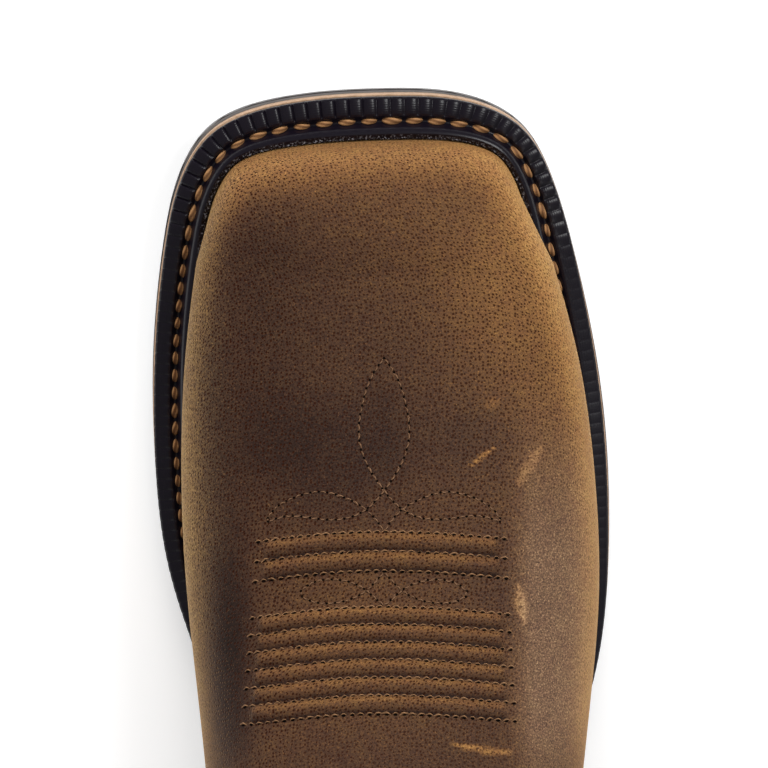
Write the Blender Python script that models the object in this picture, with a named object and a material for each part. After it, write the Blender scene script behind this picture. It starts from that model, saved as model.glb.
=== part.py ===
"""Square-toe pull-on work boot for the right foot, as a set of separate solids at real size.

The toe points to +Y, the little-toe side to +X and up is +Z. The boot stands on the plane z = 0.
Sizes are in millimetres and become metres where a mesh is made.
"""
import math

import bmesh
import bpy
import numpy as np

MM = 0.001

# Driving dimensions
LENGTH = 308.0            # heel back to toe tip of the sole
BALL_WIDTH = 118.0        # sole's width across the ball
INSTEP_HEIGHT = 88.0      # floor to the ridge of the vamp at the instep
COLLAR_RISE = 18.0        # how much higher the collar stands at its two sides
HEEL_HEIGHT = 27.5        # floor to the outsole at the heel's front face
SEAT_RISE = 4.0           # further rise of the outsole from there to the heel's back
TOE_SPRING = 13.0         # floor to the outsole at the toe tip
LEATHER = 2.4             # wall of the upper
GAP = 0.3                 # clearance between neighbouring pieces

# Sole stack
OUTSOLE_FOREPART = 9.0    # base and lugs
OUTSOLE_WAIST = 6.5
OUTSOLE_BEVEL = 2.2       # how far the outsole's edge draws in towards the floor
SOLE_LIP = 2.5            # upright band along the top of the outsole's edge
LIP_DRAFT = 0.3           # how far that band draws in over its height
MIDSOLE = 3.5
INSOLE = 3.0
INSOLE_PLAY = 0.5         # clearance between insole and upper
FLAT_FRONT_Y = 72.0       # the tread is flat between these two places
FLAT_BACK_Y = 18.0
BREAST_Y = -80.0          # the heel's front face
SPRING_POWER = 1.7

# Outline of the sole, from the heel's back round the outer side to the toe and home round the inner side.
# Places are shares of half the ball width and of the length. Reach is how far the sole's edge stands out
# from the foot of the upper, and ledge how far the midsole stands out from the welt, in millimetres.
OUTLINE = (
    # place, x share, y share, reach, ledge
    ("heel back", 0.000, 0.000, 3.5, 0.2),
    ("outer heel back", 0.440, 0.030, 3.5, 0.2),
    ("outer heel", 0.640, 0.125, 4.0, 0.2),
    ("outer breast", 0.665, 0.255, 5.0, 0.2),
    ("outer waist", 0.775, 0.395, 7.4, 0.2),
    ("outer waist front", 0.958, 0.516, 9.8, 0.3),
    ("outer ball", 1.000, 0.617, 11.2, 0.6),
    ("outer toes", 0.955, 0.745, 11.2, 0.6),
    ("outer cap", 0.824, 0.865, 10.2, 0.4),
    ("outer toe side", 0.718, 0.930, 8.8, 0.3),
    ("outer corner", 0.590, 0.971, 9.4, 0.6),
    ("outer toe", 0.352, 0.995, 11.2, 1.4),
    ("toe tip", 0.017, 1.000, 12.0, 1.8),
    ("inner toe", -0.430, 0.9925, 11.8, 1.9),
    ("inner corner", -0.736, 0.968, 11.0, 2.1),
    ("inner toe side", -0.873, 0.926, 10.4, 1.5),
    ("inner cap", -0.943, 0.870, 10.4, 1.0),
    ("inner toes", -1.000, 0.762, 10.6, 0.8),
    ("inner ball", -0.993, 0.675, 10.6, 0.4),
    ("inner ball back", -0.940, 0.594, 10.2, 0.2),
    ("inner waist front", -0.806, 0.510, 9.2, 0.2),
    ("inner waist", -0.620, 0.395, 7.2, 0.2),
    ("inner breast", -0.590, 0.255, 5.0, 0.2),
    ("inner heel", -0.600, 0.125, 4.0, 0.2),
    ("inner heel back", -0.420, 0.030, 3.5, 0.2),
)
SOLE_POINTS = 88          # points round a sole piece
DENSE_POINTS = 1441       # points round the sole where a place on it is looked up

# Welt: a ribbed rubber strip from breast to breast round the toe, with a bead against the upper.
RIB_PITCH = 3.2
RIB_DEPTH = 0.9
WELT_PROFILE = (
    # place, share of the width from the outer edge, height
    ("outer foot", 0.00, 0.0),
    ("lip", 0.03, 3.5),
    ("rib end", 0.46, 3.7),
    ("stitch groove", 0.56, 2.5),
    ("bead front", 0.68, 4.3),
    ("bead top", 0.84, 6.2),
    ("bead back", 1.00, 5.2),
    ("inner foot", 1.00, 0.0),
)
RIBBED = ("lip", "rib end")

# Tread
LUG_DEPTH = 4.0
GROOVE_WIDTH = 5.0
CROSS_GROOVES_Y = (-12.0, 8.0, 28.0, 62.0, 82.0, 101.0, 119.0, 136.0)
LONG_GROOVE = (-14.0, 146.0)   # from and to, along the middle of the forepart
LONG_GROOVE_RUNGS = 17
HEEL_INSET_TOP = 2.4
HEEL_INSET_FOOT = 5.0
HEEL_GROOVE_DEPTH = 3.0
HEEL_GROOVES_Y = (-98.0, -116.0, -134.0)
HEEL_ROWS = 13

# Sections of the upper, from the toe cap back to the heel and up the shaft. Each one lies in a plane that
# holds the X direction and runs from a foot on the feather line, or on the line of the heel's back, up to
# the ridge of the vamp, or the front of the shaft. Foot heights at 0 stand on the feather line. Places along
# the boot are shares of the length, heights of the instep height and half widths of half the ball width.
# Widest is how far up its section the upper is widest, and square is the power of its rounding.
SECTIONS = (
    # place, foot y, foot z, ridge y, ridge z, inner width, outer width, widest, square
    ("cap", 0.864, 0.0, 0.864, 0.605, 0.785, 0.722, 0.34, 2.70),
    ("toes", 0.776, 0.0, 0.776, 0.672, 0.840, 0.845, 0.34, 2.55),
    ("ball", 0.679, 0.0, 0.679, 0.768, 0.855, 0.912, 0.34, 2.40),
    ("ball back", 0.591, 0.0, 0.597, 0.876, 0.832, 0.926, 0.36, 2.30),
    ("instep", 0.500, 0.0, 0.532, 1.000, 0.784, 0.890, 0.39, 2.25),
    ("waist", 0.386, 0.0, 0.480, 1.140, 0.728, 0.830, 0.43, 2.25),
    ("waist back", 0.273, 0.0, 0.447, 1.275, 0.696, 0.768, 0.47, 2.25),
    ("seat", 0.159, 0.0, 0.426, 1.400, 0.690, 0.722, 0.50, 2.25),
    ("heel", 0.055, 0.0, 0.412, 1.530, 0.680, 0.702, 0.51, 2.20),
    ("back", 0.0114, 0.0, 0.403, 1.665, 0.672, 0.688, 0.51, 2.15),
    ("counter", 0.0100, 0.660, 0.397, 1.825, 0.670, 0.680, 0.51, 2.10),
    ("counter top", 0.0110, 0.930, 0.394, 2.010, 0.678, 0.684, 0.51, 2.10),
    ("ankle", 0.0260, 1.290, 0.393, 2.215, 0.706, 0.709, 0.50, 2.10),
    ("shaft", 0.0370, 1.730, 0.393, 2.450, 0.764, 0.764, 0.50, 2.10),
    ("calf", 0.0310, 2.300, 0.397, 2.720, 0.840, 0.840, 0.50, 2.10),
    ("band", 0.0165, 3.010, 0.406, 3.010, 0.893, 0.893, 0.50, 2.10),
    ("collar", 0.0140, 3.170, 0.409, 3.170, 0.910, 0.910, 0.50, 2.10),
)
RISE = 7.0                # the upper stands straight for this height above its foot
LEAST_BULGE = 1.004       # a section is at least this much wider than its foot
TOE_POWER = 2.5           # rounding of the toe box from its front to its top
CAP_SLOPE_ROW = 0.2       # the vamp's slope from the cap to this row goes on over the toe box
TOE_ROWS = 7
ACROSS = 25              # points across a section
FOREPART_ROWS = (0.0, 0.5, 1.0, 1.5)
REAR_ROWS = tuple(np.linspace(4.4, 7.7, 11)) + (8.0, 8.25, 8.5, 8.75, 9.0)
SHAFT_ROWS = (9.5, 10.0, 10.5, 11.1, 11.7, 12.5, 13.3, 14.0, 14.6, 14.97, 15.0, 16.0)
SCALLOP_FROM, SCALLOP_ROWS = 12.5, 2.5   # rows over which the collar's curve grows

# Corded ridges across the vamp: two groups, each a row of stitches more than it has ridges.
RIDGE_HEIGHT = 0.9
RIDGE_HALF_SPAN = 0.31    # half the ridges' run, as a share of the section from side to side
RIDGE_FADE = 0.05
RIDGE_GROUPS = (
    # place, first row's y, pitch of the rows, ridges
    ("toe group", 51.6, 4.5, 2),
    ("instep group", 34.4, 3.9, 6),
)
RIDGE_SEARCH = 181        # rows among which the place of a ridge is looked up

# The collar's facing is turned over the rim and stands out as a step in the wall from its row up.
BAND_ROW = 15.0
COLLAR_STEP = 0.8

# Colours, as linear red, green and blue
RUBBER_BLACK = (0.012, 0.011, 0.011)
WELT_BLACK = (0.009, 0.009, 0.010)
MIDSOLE_TAN = (0.400, 0.215, 0.105)
UPPER_BROWN = (0.115, 0.052, 0.019)
INSOLE_TAN = (0.330, 0.190, 0.090)


def smooth(knots, values, at):
    """Natural cubic curve through the columns of a short table, read at any places."""
    knots = np.asarray(knots, float)
    values = np.asarray(values, float)
    at = np.asarray(at, float)
    gaps = np.diff(knots)
    slopes = np.diff(values) / gaps
    matrix = np.diag(2.0 * (gaps[:-1] + gaps[1:]))
    matrix += np.diag(gaps[1:-1], 1) + np.diag(gaps[1:-1], -1)
    bends = np.zeros(len(knots))
    bends[1:-1] = np.linalg.solve(matrix, 6.0 * np.diff(slopes))
    i = np.clip(np.searchsorted(knots, at) - 1, 0, len(gaps) - 1)
    before = at - knots[i]
    after = knots[i + 1] - at
    curve = (bends[i] * after**3 + bends[i + 1] * before**3) / (6.0 * gaps[i])
    curve += (values[i] / gaps[i] - bends[i] * gaps[i] / 6.0) * after
    curve += (values[i + 1] / gaps[i] - bends[i + 1] * gaps[i] / 6.0) * before
    return curve


def material(name, colour, roughness):
    """Principled material of one plain colour."""
    finish = bpy.data.materials.new(name)
    finish.use_nodes = True
    shader = finish.node_tree.nodes["Principled BSDF"]
    shader.inputs["Base Color"].default_value = (*colour, 1.0)
    shader.inputs["Roughness"].default_value = roughness
    shader.inputs["Metallic"].default_value = 0.0
    finish.diffuse_color = (*colour, 1.0)
    return finish


def piece(name, points, faces, finish=None):
    """Object made from points in millimetres. Points that coincide are joined first."""
    places = {}
    order = []
    for point in np.round(np.asarray(points, float), 5):
        order.append(places.setdefault(tuple(point), len(places)))
    kept = []
    for face in faces:
        corners = list(dict.fromkeys(order[i] for i in face))
        if len(corners) > 2:
            kept.append(corners)
    mesh = bpy.data.meshes.new(name)
    mesh.from_pydata([tuple(c * MM for c in p) for p in places], [], kept)
    mesh.validate()
    made = bpy.data.objects.new(name, mesh)
    bpy.context.scene.collection.objects.link(made)
    if finish:
        mesh.materials.append(finish)
        mesh.shade_smooth()
        mesh.set_sharp_from_angle(angle=math.radians(38))
    return made


def face_outward(made):
    """Turn the faces of a closed mesh to point out."""
    shape = bmesh.new()
    shape.from_mesh(made.data)
    bmesh.ops.recalc_face_normals(shape, faces=shape.faces)
    shape.to_mesh(made.data)
    shape.free()


# Outline of the sole as a closed curve

def outline_table():
    """Knots along the outline and its columns, wrapped past both ends so that the curve closes smoothly."""
    columns = np.array([row[1:] for row in OUTLINE], float)
    columns[:, 0] *= BALL_WIDTH / 2
    columns[:, 1] = (columns[:, 1] - 0.5) * LENGTH
    closed = np.vstack([columns, columns[:1]])
    steps = np.hypot(*np.diff(closed[:, :2], axis=0).T)
    knots = np.concatenate([[0.0], np.cumsum(steps)])
    wrap = 5
    before = knots[-1 - wrap:-1] - knots[-1]
    after = knots[1:wrap + 1] + knots[-1]
    wrapped = np.concatenate([before, knots, after])
    table = np.vstack([columns[-wrap:], closed, columns[1:wrap + 1]])
    return knots, wrapped, table


KNOTS, WRAPPED_KNOTS, WRAPPED_TABLE = outline_table()
TOE_KNOT = KNOTS[[row[0] for row in OUTLINE].index("toe tip")]


def sole_edge(round_share):
    """Outline's place, inward direction, reach and ledge. Share 0 is the heel's back and 0.5 the toe tip."""
    at = np.interp(round_share, (0.0, 0.5, 1.0), (0.0, TOE_KNOT, KNOTS[-1]))
    x, y, reach, ledge = (smooth(WRAPPED_KNOTS, column, at) for column in WRAPPED_TABLE.T)
    step = 0.5
    ahead = [smooth(WRAPPED_KNOTS, column, at + step) for column in WRAPPED_TABLE.T[:2]]
    behind = [smooth(WRAPPED_KNOTS, column, at - step) for column in WRAPPED_TABLE.T[:2]]
    run = np.array(ahead) - np.array(behind)
    run /= np.hypot(*run)
    inward = np.stack([-run[1], run[0]], axis=-1)
    return np.stack([x, y], axis=-1), inward, reach, ledge


def edge_shares(y):
    """Shares round the sole where its outer and its inner edge pass a place along the boot."""
    shares = np.linspace(0.0, 1.0, DENSE_POINTS)
    along = sole_edge(shares)[0][:, 1]
    toe = len(shares) // 2
    outer = np.interp(y, along[:toe], shares[:toe])
    inner = np.interp(y, along[:toe:-1], shares[:toe:-1])
    return float(outer), float(inner)


def sole_loop(inset_of):
    """Points round the sole, drawn in by a length worked out from reach and ledge."""
    place, inward, reach, ledge = sole_edge(np.arange(SOLE_POINTS) / SOLE_POINTS)
    return place + inward * (inset_of(reach, ledge) * np.ones(SOLE_POINTS))[:, None]


# Heights along the sole

def ease(share):
    """Smooth step from 0 to 1."""
    share = np.clip(share, 0.0, 1.0)
    return share * share * (3.0 - 2.0 * share)


def tread_z(y):
    """Underside of the outsole: flat under the ball, sprung at the toe and arched up to the heel's seat."""
    toe = np.clip((y - FLAT_FRONT_Y) / (LENGTH / 2 - FLAT_FRONT_Y), 0.0, 1.0)
    arch = HEEL_HEIGHT * ease((FLAT_BACK_Y - y) / (FLAT_BACK_Y - BREAST_Y))
    seat = SEAT_RISE * np.clip((BREAST_Y - y) / (BREAST_Y + LENGTH / 2), 0.0, 1.0)
    return TOE_SPRING * toe**SPRING_POWER + arch + seat


def outsole_top_z(y):
    """Upper face of the outsole, which thins from the forepart to the waist."""
    thin = ease((FLAT_BACK_Y - y) / (FLAT_BACK_Y - BREAST_Y / 2))
    return tread_z(y) + OUTSOLE_FOREPART + (OUTSOLE_WAIST - OUTSOLE_FOREPART) * thin


def midsole_foot_z(y):
    return outsole_top_z(y) + GAP


def feather_z(y):
    """Height where welt, upper and insole stand on the midsole."""
    return midsole_foot_z(y) + MIDSOLE + GAP


def lifted(loop, z_of, lift=0.0):
    """A flat loop of points raised to a height that varies along the boot."""
    return np.column_stack([loop, z_of(loop[:, 1]) + lift])


def slab(name, rings, finish):
    """Solid between loops of points, lowest first, capped by strips that run from side to side."""
    count = len(rings[0])
    faces = []
    for level in range(len(rings) - 1):
        low, high = level * count, (level + 1) * count
        for i in range(count):
            j = (i + 1) % count
            faces.append((low + i, low + j, high + j, high + i))
    for first in (0, (len(rings) - 1) * count):
        for i in range(count // 2):
            faces.append([first + k % count for k in (i, i + 1, count - i - 1, count - i)])
    made = piece(name, np.vstack(rings), faces, finish)
    face_outward(made)
    return made


def block(name, low, high):
    """Cutting box between two corners."""
    corners = [(x, y, z) for x in (low[0], high[0]) for y in (low[1], high[1]) for z in (low[2], high[2])]
    faces = ((0, 1, 3, 2), (4, 6, 7, 5), (0, 4, 5, 1), (2, 3, 7, 6), (0, 2, 6, 4), (1, 5, 7, 3))
    made = piece(name, corners, faces)
    face_outward(made)
    return made


def cut(made, cutter):
    """Take a cutter's shape out of a solid."""
    cutter.hide_render = True
    cutter.display_type = "WIRE"
    modifier = made.modifiers.new(cutter.name, "BOOLEAN")
    modifier.operation = "DIFFERENCE"
    modifier.solver = "EXACT"
    modifier.object = cutter


# The upper's surface

def feather_line():
    """Dense run of the feather line, where the upper meets the sole: shares round the sole and places."""
    shares = np.linspace(0.0, 1.0, DENSE_POINTS)
    place, inward, reach, _ = sole_edge(shares)
    return shares, place + inward * reach[:, None]


FEATHER_SHARES, FEATHER = feather_line()
TOE_INDEX = len(FEATHER_SHARES) // 2
SEAT, BACK = ([row[0] for row in SECTIONS].index(place) for place in ("seat", "back"))
SECTION_KNOTS = np.arange(len(SECTIONS))


def feather_share(y, outer):
    """Share round the sole where the feather line passes a place along the boot, on one side."""
    if outer:
        return np.interp(y, FEATHER[:TOE_INDEX + 1, 1], FEATHER_SHARES[:TOE_INDEX + 1])
    return np.interp(y, FEATHER[:TOE_INDEX - 1:-1, 1], FEATHER_SHARES[:TOE_INDEX - 1:-1])


def feather_point(share):
    x = np.interp(share, FEATHER_SHARES, FEATHER[:, 0])
    y = np.interp(share, FEATHER_SHARES, FEATHER[:, 1])
    return np.array([x, y, feather_z(y)])


def section_sizes(row):
    """Foot, ridge, half widths, widest share and rounding power of the section at any row of the table."""
    columns = np.array([values[1:] for values in SECTIONS], float)
    feet = (columns[:, 0] - 0.5) * LENGTH
    feet[BACK] = FEATHER[0, 1]
    heights = columns[:, 1] * INSTEP_HEIGHT
    heights[BACK] = feather_z(feet[BACK]) + RISE
    rear = slice(BACK, None)
    if row > BACK:
        foot_y = float(smooth(SECTION_KNOTS[rear], feet[rear], row))
        foot_z = float(smooth(SECTION_KNOTS[rear], heights[rear], row))
    else:
        foot_y = float(smooth(SECTION_KNOTS[:BACK], feet[:BACK], min(row, SEAT)))
        round_heel = math.sin(max(row - SEAT, 0.0) / (BACK - SEAT) * math.pi / 2)
        foot_y += (feet[BACK] - feet[SEAT]) * round_heel
        foot_z = feather_z(foot_y) + RISE
    ridge_y, ridge_z, inner, outer, widest, square = (
        float(smooth(SECTION_KNOTS, column, row)) for column in columns[:, 2:].T)
    foot = np.array([foot_y, foot_z])
    ridge = np.array([(ridge_y - 0.5) * LENGTH, ridge_z * INSTEP_HEIGHT])
    return foot, ridge, inner * BALL_WIDTH / 2, outer * BALL_WIDTH / 2, widest, square


def section_feet(row, foot_y):
    """Half widths of the feather line under a section, inner and outer. They close at the heel's back."""
    if row >= BACK:
        return 0.0, 0.0
    inner = feather_point(feather_share(foot_y, outer=False))[0]
    outer = feather_point(feather_share(foot_y, outer=True))[0]
    return max(-inner, 0.0), max(outer, 0.0)


def section_point(row, across):
    """Point of a section. Across runs from 0 at the inner foot over the ridge to 1 at the outer foot."""
    foot, ridge, inner, outer, widest, square = section_sizes(row)
    widths = []
    turns = []
    for width, foot_width in zip((inner, outer), section_feet(row, foot[0])):
        width = max(width, foot_width * LEAST_BULGE)
        widths.append(width)
        turns.append(math.acos((foot_width / width) ** (square / 2)))
    turn = -turns[0] + (math.pi + turns[0] + turns[1]) * across
    side = 0 if math.cos(turn) > 0 else 1
    x = abs(math.cos(turn)) ** (2 / square) * widths[side] * (-1, 1)[side]
    up = math.sin(turn)
    if up >= 0:
        climb = widest + (1 - widest) * up ** (2 / square)
    else:
        climb = widest * (1 - (-up / math.sin(turns[side])) ** (2 / square))
    y, z = foot + (ridge - foot) * climb
    scallop = COLLAR_RISE * ease((row - SCALLOP_FROM) / SCALLOP_ROWS) * (x / widths[side]) ** 2
    return np.array([x, y, z + scallop])


def toe_point(turn_share, across):
    """Point of the toe box, which swings from the feather line round the toe up to the cap's section."""
    foot, ridge = section_sizes(0)[:2]
    arch = section_point(0, across)
    ends = [feather_share(foot[0], outer) for outer in (False, True)]
    front = feather_point(ends[0] + (ends[1] - ends[0]) * across) + (0, 0, RISE)
    hub = np.array([arch[0], foot[0], foot[1]])
    turn = turn_share * math.pi / 2
    ahead = math.cos(turn) ** (2 / TOE_POWER) if turn_share < 1 else 0.0
    above = math.sin(turn) ** (2 / TOE_POWER)
    point = hub + (front - hub) * ahead + (arch - hub) * above
    height_share = (arch[2] - foot[1]) / (ridge[1] - foot[1])
    behind = section_sizes(CAP_SLOPE_ROW)[1]
    slope = (behind[1] - ridge[1]) / (behind[0] - ridge[0])
    point[2] += slope * (point[1] - foot[0]) * math.sin(turn) ** 2 * height_share
    return point


def ridge_rows():
    """Rows of the vamp's stitch lines and of the ridge tops between them, by their place along the boot."""
    dense = np.linspace(0, BACK, RIDGE_SEARCH)
    line = np.array([section_sizes(row)[1][0] for row in dense])
    rows = []
    for _, first, pitch, ridges in RIDGE_GROUPS:
        for half in range(2 * ridges + 1):
            place = first - pitch * half / 2
            rows.append((float(np.interp(-place, -line, dense)), half % 2))
    return rows


def upper_grid():
    """Rows of points over the whole upper, each with its two feet, and how far each row is raised."""
    across = np.linspace(0, 1, ACROSS)
    ends = [section_point(0, side) for side in (0, 1)]
    feet = [end - (0, 0, RISE) for end in ends]
    grid = []
    front = np.array([toe_point(0, share) for share in across])
    for height in (RISE, 0.0):
        grid.append([feet[0], *(front - (0, 0, height)), feet[1]])
    for step in range(1, TOE_ROWS):
        grid.append([feet[0], *(toe_point(step / TOE_ROWS, share) for share in across), feet[1]])
    raised = [0.0] * len(grid)
    forepart = [(row, 0) for row in FOREPART_ROWS]
    rear = [(row, 0) for row in REAR_ROWS + SHAFT_ROWS]
    for row, is_ridge in forepart + ridge_rows() + rear:
        points = [section_point(row, share) for share in across]
        drop = RISE if row <= BACK else 0.0
        grid.append([points[0] - (0, 0, drop), *points, points[-1] - (0, 0, drop)])
        raised.append(RIDGE_HEIGHT * is_ridge + COLLAR_STEP * (row >= BAND_ROW))
    return np.array(grid), np.array(raised)


def make_upper(finish):
    grid, raised = upper_grid()
    rows, columns = grid.shape[:2]
    along = np.gradient(grid, axis=0)
    over = np.gradient(grid, axis=1)
    normal = np.cross(along, over)
    normal /= np.maximum(np.linalg.norm(normal, axis=2, keepdims=True), 1e-9)
    share = np.abs(np.linspace(-0.5, 0.5, ACROSS))
    fade = ease((RIDGE_HALF_SPAN - share) / RIDGE_FADE + 0.5)
    lift = np.zeros((rows, columns))
    lift[:, 1:-1] = raised[:, None]
    ridged = (raised > 0) & (np.arange(rows) < rows - len(SHAFT_ROWS))
    lift[np.ix_(ridged, range(1, columns - 1))] *= fade
    grid = grid + normal * lift[:, :, None]
    closed = rows - len(SHAFT_ROWS)
    grid[closed:, [0, 1, -2, -1], 0] = 0.0
    for column in (1, -2, -1):
        grid[closed:, column] = grid[closed:, 0]
    faces = []
    for i in range(rows - 1):
        for j in range(columns - 1):
            if i + 1 >= closed and j in (0, columns - 2):
                continue
            corner = i * columns + j
            faces.append((corner, corner + columns, corner + columns + 1, corner + 1))
    made = piece("upper", grid.reshape(-1, 3), faces, finish)
    wall = made.modifiers.new("leather", "SOLIDIFY")
    wall.thickness = LEATHER * MM
    wall.offset = -1.0
    wall.use_even_offset = True
    wall.use_quality_normals = True
    return made


# The sole's pieces

def make_outsole(finish):
    top = sole_loop(lambda reach, ledge: 0.0)
    foot = sole_loop(lambda reach, ledge: OUTSOLE_BEVEL)
    lip = sole_loop(lambda reach, ledge: LIP_DRAFT)
    rings = [lifted(foot, tread_z), lifted(lip, outsole_top_z, -SOLE_LIP), lifted(top, outsole_top_z)]
    made = slab("outsole", rings, finish)
    half = GROOVE_WIDTH / 2
    for number, y in enumerate(CROSS_GROOVES_Y, 1):
        low = (-BALL_WIDTH, y - half, -LUG_DEPTH)
        high = (BALL_WIDTH, y + half, float(tread_z(y)) + LUG_DEPTH)
        cut(made, block(f"cross_groove_{number}", low, high))
    rungs = np.linspace(*LONG_GROOVE, LONG_GROOVE_RUNGS)
    loop = np.array([(-half, y) for y in rungs] + [(half, y) for y in rungs[::-1]])
    count = len(loop)
    points = np.vstack([lifted(loop, tread_z, -LUG_DEPTH), lifted(loop, tread_z, LUG_DEPTH)])
    faces = [(i, (i + 1) % count, count + (i + 1) % count, count + i) for i in range(count)]
    for first in (0, count):
        for i in range(len(rungs) - 1):
            faces.append([first + k for k in (i, i + 1, count - i - 2, count - i - 1)])
    groove = piece("long_groove", points, faces)
    face_outward(groove)
    cut(made, groove)
    return made


def make_heel(finish):
    ends = edge_shares(BREAST_Y)
    outer = np.linspace(0.0, ends[0], HEEL_ROWS)
    inner = np.linspace(ends[1], 1.0, HEEL_ROWS)[:-1]
    place, inward, _, _ = sole_edge(np.concatenate([outer, inner]))
    foot = place + inward * HEEL_INSET_FOOT
    top = place + inward * HEEL_INSET_TOP
    rings = [lifted(foot, lambda y: 0.0 * y), lifted(top, tread_z, -GAP)]
    made = slab("heel", rings, finish)
    for number, y in enumerate(HEEL_GROOVES_Y, 1):
        low = (-BALL_WIDTH, y - GROOVE_WIDTH / 2, -LUG_DEPTH)
        high = (BALL_WIDTH, y + GROOVE_WIDTH / 2, HEEL_GROOVE_DEPTH)
        cut(made, block(f"heel_groove_{number}", low, high))
    return made


def make_midsole(finish):
    edge = sole_loop(lambda reach, ledge: 0.0)
    return slab("midsole", [lifted(edge, midsole_foot_z), lifted(edge, midsole_foot_z, MIDSOLE)], finish)


def make_insole(finish):
    edge = sole_loop(lambda reach, ledge: reach + LEATHER + INSOLE_PLAY)
    return slab("insole", [lifted(edge, feather_z), lifted(edge, feather_z, INSOLE)], finish)


def welt_points(shares, cut_in):
    """Profile of the welt at each share round the sole. Ribbed places are cut in by a depth."""
    place, inward, reach, ledge = sole_edge(shares)
    width = reach - ledge - GAP
    columns = []
    for name, across, height in WELT_PROFILE:
        at = place + inward * (ledge + width * across)[:, None]
        drop = cut_in if name in RIBBED else 0.0
        columns.append(np.column_stack([at, feather_z(at[:, 1]) + height - drop]))
    return np.stack(columns, axis=1)


def make_welt(finish):
    start, end = edge_shares(BREAST_Y + RIB_PITCH)
    run = sole_edge(np.linspace(start, end, DENSE_POINTS))[0]
    ribs = round(np.hypot(*np.diff(run, axis=0).T).sum() / RIB_PITCH)
    shares = np.linspace(start, end, ribs + 1)
    full = welt_points(shares, 0.0)
    names = [row[0] for row in WELT_PROFILE]
    valley = welt_points((shares[:-1] + shares[1:]) / 2, RIB_DEPTH)[:, [names.index(n) for n in RIBBED]]
    corners = len(WELT_PROFILE)
    lip, rib_end = (names.index(n) for n in RIBBED)
    base = len(shares) * corners
    faces = []
    for i in range(ribs):
        a, b = i * corners, (i + 1) * corners
        low, high = base + 2 * i, base + 2 * i + 1
        faces.append((a + lip - 1, b + lip - 1, b + lip, low, a + lip))
        faces.append((a + lip, low, high, a + rib_end))
        faces.append((low, b + lip, b + rib_end, high))
        faces.append((a + rib_end, high, b + rib_end, b + rib_end + 1, a + rib_end + 1))
        for k in range(rib_end + 1, corners):
            faces.append((a + k, b + k, b + (k + 1) % corners, a + (k + 1) % corners))
    faces.append(tuple(range(corners)))
    faces.append(tuple(range(base - corners, base)))
    made = piece("welt", np.vstack([full.reshape(-1, 3), valley.reshape(-1, 3)]), faces, finish)
    face_outward(made)
    return made


for old in list(bpy.data.objects):
    bpy.data.objects.remove(old, do_unlink=True)

make_outsole(material("outsole_rubber", RUBBER_BLACK, 0.6))
make_heel(material("heel_rubber", RUBBER_BLACK, 0.6))
make_midsole(material("midsole_leather", MIDSOLE_TAN, 0.6))
make_welt(material("welt_rubber", WELT_BLACK, 0.45))
make_insole(material("insole_leather", INSOLE_TAN, 0.8))
make_upper(material("upper_leather", UPPER_BROWN, 0.75))
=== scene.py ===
"""Looks of the work boot in the shared frame: upper, stitching, welt and sole, then floor, light and camera.

The toe points to +Y, the little-toe side to +X and up is +Z. Sizes are in millimetres until a mesh is made.
"""
import math

import bpy
import numpy as np
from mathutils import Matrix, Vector
from mathutils.bvhtree import BVHTree


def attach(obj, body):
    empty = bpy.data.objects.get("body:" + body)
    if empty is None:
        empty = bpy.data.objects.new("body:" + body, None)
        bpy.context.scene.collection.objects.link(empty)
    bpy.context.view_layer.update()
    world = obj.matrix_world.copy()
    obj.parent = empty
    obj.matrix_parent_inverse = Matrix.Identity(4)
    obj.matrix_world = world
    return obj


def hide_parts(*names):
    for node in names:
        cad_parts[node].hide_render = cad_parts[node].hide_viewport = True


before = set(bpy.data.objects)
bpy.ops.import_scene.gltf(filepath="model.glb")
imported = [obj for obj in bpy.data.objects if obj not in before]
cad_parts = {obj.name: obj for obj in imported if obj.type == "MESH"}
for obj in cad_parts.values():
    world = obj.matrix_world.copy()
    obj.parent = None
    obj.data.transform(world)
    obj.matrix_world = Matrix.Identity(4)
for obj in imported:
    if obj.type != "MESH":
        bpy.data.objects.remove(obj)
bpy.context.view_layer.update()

# Insole
# A tan leather board that the upper is lasted over. It closes the boot underneath, inside the welt.
# Only a little of it is seen, down the shaft, and it keeps its CAD solid.
MM = 0.001
# Sizes of grain, clouds and specks are written as a centimetre over the number of marks on it.
BOARD_FIBRE, BOARD_CLOUD = 10 / 9, 10 / 0.6
BOARD_TANS = ((0.0, "#7d5836"), (1.0, "#a47a52"))


def linear(code):
    """Linear red, green, blue and alpha of an sRGB hex colour."""
    shares = [int(code[i:i + 2], 16) / 255 for i in (1, 3, 5)]
    return (*(c / 12.92 if c <= 0.04045 else ((c + 0.055) / 1.055) ** 2.4 for c in shares), 1.0)


def per_metre(size):
    """Scale of a pattern whose marks are a size in millimetres apart."""
    return 1.0 / (size * MM)


def surface(name):
    """New material, its node tree and its Principled shader."""
    finish = bpy.data.materials.new(name)
    finish.use_nodes = True
    return finish, finish.node_tree, finish.node_tree.nodes["Principled BSDF"]


def connect(node, **sockets):
    """Set a node's sockets, named or by number, or link them. A node stands for its first output in use."""
    for name, value in sockets.items():
        matches = [s for s in node.inputs if s.name.replace(" ", "_") == name and s.enabled]
        target = matches[0] if matches else node.inputs[int(name.strip("_"))]
        if isinstance(value, bpy.types.Node):
            value = next(s for s in value.outputs if s.enabled)
        if isinstance(value, bpy.types.NodeSocket):
            node.id_data.links.new(value, target)
        else:
            target.default_value = value


def add(tree, kind, settings=(), stops=(), **sockets):
    """One node. Settings are its attributes, and stops the places and colours of a ramp."""
    node = tree.nodes.new(kind if "Node" in kind else "ShaderNode" + kind)
    for name, value in dict(settings).items():
        setattr(node, name, value)
    for number, (at, code) in enumerate(stops):
        elements = node.color_ramp.elements
        stop = elements[number] if number < len(elements) else elements.new(at)
        stop.position = at
        stop.color = linear(code)
    connect(node, **sockets)
    return node


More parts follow.
